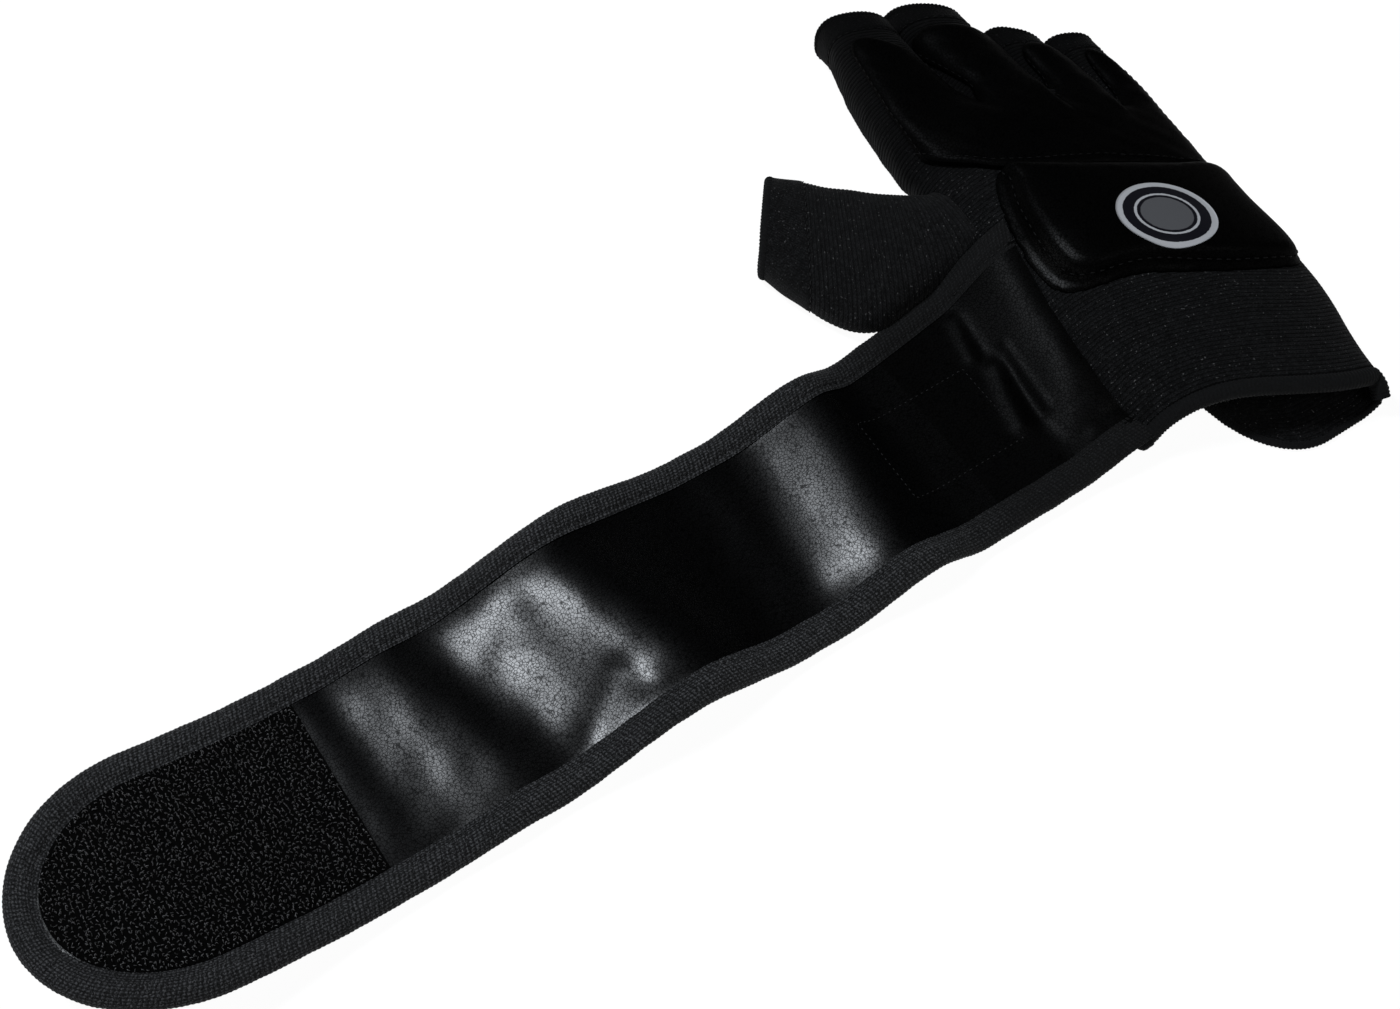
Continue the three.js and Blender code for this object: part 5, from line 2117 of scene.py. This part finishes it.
@dataclass(frozen=True)
class StrapForm:
    """How the strap lies: distances run from its fold beside the hand to its tip."""

    width: float = 74.0
    centre: float = -17.0
    fold_x: float = -62.0
    root: float = 26.0
    length: float = 313.0
    rounding: float = 44.0
    thickness: float = 5.2
    thin_share: float = 0.2
    full_at: float = -6.0
    seat_lift: float = 0.2
    uneven: float = 0.2
    flare: float = 7.0
    flare_zone: Plan = (-20.0, 55.0)
    wave: Line = (
        (0.0, 2.0), (14.0, 1.5), (36.0, 1.5), (53.0, 8.0), (85.0, 0.5), (96.0, 1.0),
        (135.0, 10.6), (178.0, 1.5), (190.0, 2.7), (214.0, 1.35), (223.0, 2.2), (313.0, 18.0),
    )
    softening: Line = ((-4.0, 0.0625), (-2.0, 0.25), (0.0, 0.375), (2.0, 0.25), (4.0, 0.0625))
    seam: Line = (
        (-54.0, -37.5), (-41.0, -40.7), (-32.0, -41.0), (-19.0, -40.3), (-5.0, -38.8), (15.0, -35.5),
        (28.0, -32.0),
    )

    @property
    def round_start(self) -> float:
        """Distance at which the tip's rounding starts."""
        return self.length - self.rounding

    def seam_x(self, y: Array) -> Array:
        """Place along x of the slanting seam on the hand."""
        return np.interp(y, *zip(*self.seam))

    def edge(self, distance: Array, side: float) -> Array:
        """Place of an edge: 1 for the finger side, which flares towards the hand, -1 for the cuff side."""
        wider = self.flare * (1.0 - ease(distance, *self.flare_zone)) * (side > 0)
        return self.centre + side * self.width / 2.0 + wider

    def place_x(self, distance: Array, y: Array) -> Array:
        """Place along x, which ends at the slanting seam on the hand."""
        share = np.clip(-distance / self.root, 0.0, 1.0)
        return self.fold_x - np.maximum(distance, 0.0) + share * (self.seam_x(y) - self.fold_x)

    def skew(self, distance: Array, y: Array) -> Array:
        """Slant the waves across the strap, and leave its edges as they are.

        Args:
            distance: Distances along the strap.
            y: Places across it.

        Returns:
            How far the waves shift along the strap.
        """
        off = y - self.centre
        inner = 1.0 - np.clip(np.abs(off) / (self.width / 2.0), 0.0, 1.0) ** 4
        far = 0.35 * ease(distance, 105.0, 130.0) * (1.0 - ease(distance, 205.0, 223.0))
        near = 0.2 * ease(distance, 35.0, 52.0) * (1.0 - ease(distance, 85.0, 105.0))
        return (far - near) * off * inner

    def lie(self, distance: Array, y: Array) -> Array:
        """Find the height of the underside before its bends are softened.

        Args:
            distance: Distances along the strap.
            y: Places across it.

        Returns:
            Heights over the floor.
        """
        along = distance - self.skew(distance, y)
        height = np.full(np.broadcast(distance, y).shape, self.wave[0][1])
        for (start, low), (end, high) in zip(self.wave, self.wave[1:]):
            height = np.where(along >= start, between(low, high, ease(along, start, end)), height)
        seat = HAND.back(self.seam_x(y), y) + self.seat_lift
        rising = between(self.wave[0][1], seat, ease(-distance, 0.0, self.root))
        return np.where(distance < 0.0, rising, height)

    def underside(self, distance: Array, y: Array) -> Array:
        """Height of the underside with soft bends."""
        height = sum(weight * self.lie(distance + step, y) for step, weight in self.softening)
        return np.maximum(height, 0.0)

    def full(self, distance: Array) -> Array:
        """Share of the full thickness, which thins out towards the seam on the hand."""
        return between(self.thin_share, 1.0, ease(distance, -self.root, self.full_at))

    def rounded(self, distance: Array, inset: float) -> Array:
        """Share of the half width that the round tip leaves, inside an inset."""
        share = np.clip((distance - self.round_start) / (self.rounding - inset), 0.0, 1.0)
        return np.sqrt(1.0 - share**2)

    def across(self, distance: Array, inset: float, share: Array) -> Array:
        """Place across the strap inside an inset, for a share from -1 to 1."""
        high, low = self.edge(distance, 1.0) - inset, self.edge(distance, -1.0) + inset
        return (high + low) / 2.0 + (high - low) / 2.0 * self.rounded(distance, inset) * share

    def point(self, distance: Array, y: Array, height: Array) -> Array:
        """Points at a height over the underside."""
        z = self.underside(distance, y) + height * self.full(distance)
        return np.stack(np.broadcast_arrays(self.place_x(distance, y), y, z), -1)

    def layer(self, distance: Array, y: Array, heights: Plan) -> list[Array]:
        """Upper and lower side of a layer between two heights over the underside."""
        return [self.point(distance, y, height) for height in heights]

    def relief(self, distance: Array, y: Array) -> Array:
        """Find the relief of the leather face: its folds and its unevenness.

        Args:
            distance: Distances along the strap.
            y: Places across it.

        Returns:
            Heights to add to the face.
        """
        x = self.place_x(distance, y)
        flat = np.stack(np.broadcast_arrays(x, y, 0.0 * x), -1)
        uneven = self.uneven * wobble(flat, wave=34.0, seed=17)
        return sum(crease.relief(x, y) for crease in CREASES) + uneven


STRAP = StrapForm()


@dataclass(frozen=True)
class Span:
    """A length of strap that turns about one fold."""

    number: int
    start: float
    end: float
    carrier: Crossing
    layers: tuple[str, ...]

    @property
    def last(self) -> bool:
        """True for the span that ends in the round tip."""
        return self.end == STRAP.length


def strap_spans() -> list[Span]:
    """Cut the strap into spans halfway between its folds, each with the zone round its fold noted.

    Returns:
        The five spans, from the hand to the tip.
    """
    cuts = (-STRAP.root, 25.0, 79.0, 137.0, 194.5, STRAP.length)
    zones = ((-16.0, 6.0), (44.0, 60.0), (92.0, 124.0), (150.0, 182.0), (207.0, 239.0))
    bodies = ("hand", "strap_1", "strap_2", "strap_3", "strap_4", "strap_5")
    layers = (("strap_root",), ("strap_1",), ("strap_2",), ("strap_3",), ("strap_4", "strap_5"))
    spans = []
    for number, zone in enumerate(zones):
        start, end = ((STRAP.fold_x - distance, STRAP.centre, 0.0) for distance in zone)
        carrier = Crossing(bodies[number], bodies[number + 1], start, end)
        spans.append(Span(number + 1, cuts[number], cuts[number + 1], carrier, layers[number]))
    return spans


@dataclass(frozen=True)
class Strap:
    """The padded wrist strap with its binding, patches and sewing."""

    shop: Workshop
    binding: float = 9.2
    binding_wall: float = 0.8
    binding_crown: float = 6.2
    binding_rib: float = 0.07
    binding_seam: float = 1.6
    binding_pull: float = 0.35
    binding_uneven: float = 0.12
    binding_inner: float = 4.5
    binding_under: float = 2.0
    tuck: float = 2.2
    face_heights: Plan = (4.0, 1.6)
    crown: float = 0.7
    lining_inset: float = 1.2
    lining_heights: Plan = (1.5, 0.35)
    tip_corners: float = 0.215
    step: float = 0.9
    tape_step: float = 0.28
    tip_rows: int = 60
    tape_tip_rows: int = 440
    columns: int = 64
    hook_start: float = 224.2
    hook_pitch: float = 1.25
    hook_row_share: float = 0.85
    hook_stray: float = 0.3
    hook_foot: float = 5.1
    plate_heights: Plan = (5.15, 3.4)
    plate_roll: float = 0.5
    box_start: float = 6.0
    box_end: float = 45.0
    box_half: float = 14.5
    box_points: int = 700
    loops_half: float = 16.0
    loops_heights: Plan = (0.5, 0.0)
    loops_step: float = 0.8
    loops_columns: int = 48
    thread_lift: float = 0.12

    def build(self) -> None:
        """Make each span, then the patches."""
        spans = strap_spans()
        for span in spans:
            self.face(span)
            self.lining(span)
            self.tape(span)
            self.sewn_box(span)
        self.hook_patch(spans[-1])
        self.loop_patch()

    def stations(self, start: float, end: float, step: float) -> Array:
        """Distances between two ends, at most a step apart, as a column."""
        return np.linspace(start, end, int(math.ceil((end - start) / step)) + 1)[:, None]

    def field(self, start: float, end: float, inset: float) -> tuple[Array, Array, Array]:
        """A grid over the strap inside an inset.

        Args:
            start: Distance of its first row.
            end: Distance of its last row, kept off the tip by the inset.
            inset: Distance to the strap's edge.

        Returns:
            Distances, y and the place across from -1 to 1.
        """
        last = min(end, STRAP.length - inset - 0.15)
        round_start, radius = STRAP.round_start, STRAP.rounding - inset
        rows = self.stations(start, last, self.step)
        if last > round_start:
            turn = np.arcsin((last - round_start) / radius)
            bend = round_start + radius * np.sin(np.linspace(0.0, turn, self.tip_rows))[1:, None]
            rows = np.concatenate([self.stations(start, round_start, self.step), bend])
        across = np.linspace(-1.0, 1.0, self.columns)[None, :]
        y = STRAP.across(rows, inset, across)
        return rows + 0.0 * across, y, across + 0.0 * rows

    def face(self, span: Span) -> None:
        """Make the padded leather face of a span.

        Args:
            span: The span.
        """
        distance, y, across = self.field(span.start, span.end, self.binding - self.tuck)
        crown = self.crown * (1.0 - np.abs(across) ** 6) * STRAP.full(distance)
        under_patch = ease(distance, self.hook_start - 2.0, self.hook_start + 1.5)
        relief = (crown + STRAP.relief(distance, y) * (1.0 - under_patch)) * (1.0 - np.abs(across) ** 8)
        top, under = STRAP.layer(distance, y, self.face_heights)
        top[..., 2] += relief
        finish = DULL_LEATHER if span.number == 1 else LEATHER
        piece = finish.dress(shell(f"strap_leather_{span.number}", top, under, Shape.SHEET, crisp=True))
        layers = [f"{name}_{layer}" for name in span.layers for layer in ("face", "core")]
        place(piece, span.carrier, Slot.LEATHER, layers)

    def lining(self, span: Span) -> None:
        """Make the cloth on the underside of a span.

        Args:
            span: The span.
        """
        distance, y, _ = self.field(span.start, span.end, self.lining_inset)
        top, under = STRAP.layer(distance, y, self.lining_heights)
        piece = LINING.dress(shell(f"strap_lining_{span.number}", top, under, Shape.SHEET, crisp=True))
        layers = [f"{name}_backing" for name in span.layers]
        place(piece, span.carrier, Slot.LINING, layers)
        flat = (STRAP.width * MM, (span.end - span.start) * MM)
        area = flat[0] * (flat[1] - self.tip_corners * STRAP.rounding * MM * span.last)

    def edge_paths(self, span: Span) -> list[tuple[Array, Array]]:
        """Routes of the binding's outer edge.

        Args:
            span: The span to bind.

        Returns:
            For each run, the edge's (distance, y) and the direction inwards.
        """
        half = STRAP.width / 2.0
        if not span.last:
            runs = []
            rows = self.stations(span.start, span.end, self.tape_step)[:, 0]
            for side in (1.0, -1.0):
                edge = np.stack([rows, STRAP.edge(rows, side)], -1)
                slope = np.gradient(edge[:, 1], rows)
                runs.append((edge, unit(np.stack([slope, 0.0 * slope - 1.0], -1)) * side))
            return runs
        rows = self.stations(span.start, STRAP.round_start, self.tape_step)[:, 0]
        turn = np.linspace(math.pi / 2, -math.pi / 2, self.tape_tip_rows)[1:-1]
        bend = np.stack([STRAP.round_start + STRAP.rounding * np.cos(turn), half * np.sin(turn)], -1)
        bend_in = unit(np.stack([-np.cos(turn) / STRAP.rounding, -np.sin(turn) / half], -1))
        upper = np.stack([rows, 0.0 * rows + half], -1)
        lower = np.stack([rows[::-1], 0.0 * rows - half], -1)
        edge = np.concatenate([upper, bend, lower]) + np.array([0.0, STRAP.centre])
        upper_in, lower_in = (np.broadcast_to([0.0, down], upper.shape) for down in (-1.0, 1.0))
        return [(edge, np.concatenate([upper_in, bend_in, lower_in]))]

    def tape_section(self) -> tuple[Array, Array]:
        """Draw the folded tape's section, from its inner edge on top, round the outside, to the underside.

        Returns:
            Distances from the outer edge, and heights.
        """
        half, radius = self.binding / 2.0, STRAP.thickness / 2.0
        inner = np.linspace(self.binding, half, 9)[:-1]
        inner_height = between(
            self.binding_inner, self.binding_crown, np.sin((self.binding - inner) / half * math.pi / 2)
        )
        over = np.linspace(math.pi / 2, math.pi, 10)[:-1]
        below = np.linspace(math.pi, 3 * math.pi / 2, 7)
        flat = np.linspace(radius, self.binding - self.binding_under, 7)[1:]
        inward = [inner, half + half * np.cos(over), radius + radius * np.cos(below), flat]
        rise = self.binding_crown - radius
        height = [inner_height, radius + rise * np.sin(over), radius + radius * np.sin(below), 0.0 * flat]
        return np.concatenate(inward), np.concatenate(height)

    def tape(self, span: Span) -> None:
        """Fold the tape round a span's free edges and sew it down.

        Args:
            span: The span.
        """
        inward_of, height_of = self.tape_section()
        sides = {1: "finger_side", -1: "cuff_side"}
        for edge, inward in self.edge_paths(span):
            spot = edge[:, None] + inward[:, None] * inward_of[None, :, None]
            smooth = STRAP.point(spot[..., 0], spot[..., 1], height_of[None] + 0.0 * spot[..., 0])
            normals = grid_normals(smooth, Shape.SHEET)
            side = int(np.sign(edge[0, 1] - STRAP.centre))
            outside = smooth - smooth.mean(axis=1, keepdims=True)
            if (normals * outside).sum() < 0:
                normals = -normals
            run = run_length(smooth[:, len(inward_of) // 2])
            profile = run_length(np.stack([inward_of, height_of], -1))
            rows = np.sin(TURN * (run[:, None] + TAPE.slant * profile) / TAPE.row)
            on_top = height_of > STRAP.thickness / 2.0
            off_seam = inward_of - (self.binding - self.binding_seam)
            pull = self.binding_pull * bell(off_seam, width=0.8) * on_top
            uneven = self.binding_uneven * wobble(smooth, wave=12.0, seed=31)
            swell_by = self.binding_rib * rows - pull + uneven
            outer = smooth + normals * swell_by[..., None]
            outer[..., 2] = np.maximum(outer[..., 2], 0.05)
            inner = smooth - normals * self.binding_wall
            inner[..., 2] = np.maximum(inner[..., 2], 0.3)
            if span.last:
                name = "strap_binding_5"
                replaced = [f"strap_4_binding_{label}" for label in sides.values()] + ["strap_5_binding"]
            else:
                name = f"strap_binding_{span.number}_{sides[side]}"
                replaced = [f"{layer}_binding_{sides[side]}" for layer in span.layers]
            piece = TAPE.dress(shell(name, outer, inner, Shape.SHEET, crisp=True, ribs=run))
            place(piece, span.carrier, Slot.BINDING, replaced)
            column = int(np.argmin(np.where(on_top, np.abs(off_seam), np.inf)))
            line = outer[::3, column] + np.array([0.0, 0.0, self.thread_lift])
            self.shop.sew(f"{name}_stitches", [line], span.carrier, Slot.BINDING, Width=0.4 * MM)

    def sewn_box(self, span: Span) -> None:
        """Sew a span's share of the rectangle that holds the patch on the underside.

        Args:
            span: The span.
        """
        corners = [
            (self.box_start, -self.box_half), (self.box_end, -self.box_half),
            (self.box_end, self.box_half), (self.box_start, self.box_half), (self.box_start, -self.box_half),
        ]
        route = evenly(np.array(corners), self.box_points)
        inside = (route[:, 0] >= span.start) & (route[:, 0] <= span.end)
        if not inside.any():
            return
        distance, y = route[:, 0], STRAP.centre + route[:, 1]
        points = STRAP.point(distance, y, self.face_heights[0])
        points[:, 2] += STRAP.relief(distance, y) + self.crown
        cuts = np.flatnonzero(np.diff(inside.astype(int))) + 1
        runs = [run for run, keep in zip(np.split(points, cuts), np.split(inside, cuts)) if keep[0]]
        name = f"patch_stitches_{span.number}"
        sizes = {"Pitch": 1.9 * MM, "Length": 1.1 * MM, "Width": 0.42 * MM}
        self.shop.sew(name, runs, span.carrier, Slot.LEATHER, **sizes)

    def hook_patch(self, span: Span) -> None:
        """Make the hook patch on the strap's rounded end: a plate and a field of hooks.

        Args:
            span: The last span.
        """
        inset = self.binding + 0.1
        distance, y, across = self.field(self.hook_start, STRAP.length, inset)
        top, under = STRAP.layer(distance, y, self.plate_heights)
        top[..., 2] += 0.15 * wobble(top, wave=20.0, seed=41) - self.plate_roll * np.abs(across) ** 10
        plate = HOOK_BASE.dress(shell("hook_plate", top, under, Shape.SHEET, crisp=True))
        place(plate, span.carrier, Slot.HOOKS, ("hook_patch",))
        draw = np.random.default_rng(23)
        rows = np.arange(self.hook_start + 0.8, STRAP.length - inset - 0.6, self.hook_pitch)
        spots = []
        for row in rows:
            half = float(STRAP.across(np.float64(row), inset, 1.0)) - STRAP.centre - 0.5
            across_row = np.arange(-half, half, self.hook_pitch * self.hook_row_share)
            spots.append(np.stack([0.0 * across_row + row, across_row], -1))
        spot = np.concatenate(spots)
        spot = spot + draw.uniform(-self.hook_stray, self.hook_stray, spot.shape)
        guide = bpy.data.meshes.new("hook_spots")
        feet = STRAP.point(spot[:, 0], STRAP.centre + spot[:, 1], self.hook_foot)
        guide.from_pydata((feet * MM).tolist(), [], [])
        place(self.shop.hooks.grow("hook_field", guide), span.carrier, Slot.HOOKS)

    def loop_patch(self) -> None:
        """The loop patch on the underside of the first length of strap."""
        distance = self.stations(self.box_start, self.box_end - 1.0, self.loops_step)
        across = np.linspace(-1.0, 1.0, self.loops_columns)[None, :]
        y = STRAP.centre + across * self.loops_half + 0.0 * distance
        distance = distance + 0.0 * across
        top, under = STRAP.layer(distance, y, self.loops_heights)
        under[..., 2] += 0.12 * wobble(under, wave=1.6, seed=51) - 0.1
        under[..., 2] = np.maximum(under[..., 2], 0.02)
        piece = LOOPS.dress(shell("loop_pile", top, under, Shape.SHEET))
        place(piece, "strap_1", Slot.LOOPS, ("loop_patch",))


# The studio


@dataclass(frozen=True)
class Lamp:
    """A soft rectangular light in the studio, in metres and watts."""

    name: str
    direction: Triple
    target: Triple
    distance: float
    size: Plan
    power: float
    colour: Triple = (1.0, 1.0, 1.0)

    def build(self) -> None:
        """Hang the light and turn it to its target."""
        data = bpy.data.lights.new(self.name, "AREA")
        data.energy = self.power
        data.color = self.colour
        data.shape = "RECTANGLE"
        data.size, data.size_y = self.size
        lamp = new_object(self.name, data)
        aim = Vector(self.direction).normalized()
        lamp.location = Vector(self.target) + aim * self.distance
        lamp.rotation_euler = aim.to_track_quat("Z", "Y").to_euler()


@dataclass(frozen=True)
class Studio:
    """Camera, pale floor and soft light."""

    eye: Triple = (-317.3, -237.3, 503.2)
    target: Triple = (-157.0, 5.0, 0.0)
    focal_share: float = 2000.0 / 1400.0
    sensor: float = 36.0
    floor_radius: float = 9.4
    cove: float = 0.6
    wall_height: float = 1.6
    sides: int = 64
    floor_tones: tuple[Triple, Triple] = ((0.8, 0.8, 0.8), (0.76, 0.76, 0.76))
    glow: float = 1.08
    glow_share: float = 0.88
    room: float = 0.015
    lamps: tuple[Lamp, ...] = (
        Lamp("key", (-0.28, 0.355, 0.89), (-0.2, -0.017, 0.008), 1.2, (0.26, 0.28), 10.0, (0.95, 1.0, 1.06)),
        Lamp("near_eye", (-0.5, -0.5, 0.7), (-0.03, 0.0, 0.02), 1.1, (0.2, 0.2), 0.15),
        Lamp("fill", (0.1, -0.6, 0.8), (-0.15, 0.0, 0.0), 1.6, (0.8, 0.8), 7.0),
    )

    def build(self) -> None:
        """Set up the view, the floor and the lights."""
        self.camera()
        self.floor()
        for lamp in self.lamps:
            lamp.build()
        self.world()

    def camera(self) -> None:
        """A camera at the photograph's angle."""
        data = bpy.data.cameras.new("camera")
        data.sensor_width = self.sensor
        data.sensor_fit = "HORIZONTAL"
        data.lens = self.focal_share * self.sensor
        data.clip_start = 0.01
        data.clip_end = 50.0
        camera = new_object("camera", data)
        camera.location = Vector(self.eye) * MM
        aim = Vector(self.target) - Vector(self.eye)
        camera.rotation_euler = aim.to_track_quat("-Z", "Y").to_euler()
        bpy.context.scene.camera = camera

    def floor(self) -> None:
        """A round white floor that curves up into a low wall and keeps a soft shadow."""
        around = round_angles(self.sides)
        cove = np.linspace(0.0, math.pi / 2, 8)
        wide = self.floor_radius + self.cove
        reach = np.concatenate([self.floor_radius + self.cove * np.sin(cove), [wide]])[:, None]
        rise = np.concatenate([self.cove * (1.0 - np.cos(cove)), [self.wall_height]])[:, None]
        rings = np.stack([reach * np.cos(around), reach * np.sin(around), rise + 0.0 * around], -1)
        faces = grid_faces(len(reach), self.sides, Shape.TUBE)[:, ::-1].tolist()
        mesh = bpy.data.meshes.new("floor")
        mesh.from_pydata(rings.reshape(-1, 3).tolist(), [], [*faces, list(range(self.sides))])
        floor = new_object("floor", mesh)
        made = bpy.data.materials.new("white_floor")
        made.use_nodes = True
        graph = Graph(made.node_tree)
        # The glow shows only on rays that see the background, straight or by gloss or glass
        path = graph.add("ShaderNodeLightPath", output="Is Camera Ray")
        seen = (path + path.other("Is Glossy Ray") + path.other("Is Transmission Ray")).capped()
        cloudy = graph.noise(400.0, 1.0) * 0.02
        shade = graph.tint(cloudy, *self.floor_tones)
        matte = graph.add("ShaderNodeBsdfDiffuse", None, {"Color": shade})
        white = {"Color": (1.0, 1.0, 1.0, 1.0), "Strength": self.glow}
        glow = graph.add("ShaderNodeEmission", None, white)
        both = graph.add("ShaderNodeMixShader", None, {0: seen * self.glow_share, 1: matte, 2: glow})
        output = made.node_tree.nodes["Material Output"]
        made.node_tree.links.new(both.socket, output.inputs["Surface"])
        mesh.materials.append(made)

    def world(self) -> None:
        """A dim even room."""
        room = bpy.data.worlds.new("room")
        room.use_nodes = True
        background = room.node_tree.nodes["Background"]
        background.inputs["Color"].default_value = (1.0, 1.0, 1.0, 1.0)
        background.inputs["Strength"].default_value = self.room
        bpy.context.scene.world = room
        bpy.context.scene.view_settings.view_transform = "Standard"


def main() -> None:
    """Build the glove from the studio to the last stitch."""
    logging.basicConfig(level=logging.INFO, format="%(name)s %(message)s")
    Studio().build()
    shop = Workshop()
    for assembly in (KnitHand, FingerSleeves, ThumbSleeve, KnucklePanel, BackPad, Strap):
        LOG.info("building %s", assembly.__name__)
        assembly(shop).build()


if __name__ == "__main__":
    main()
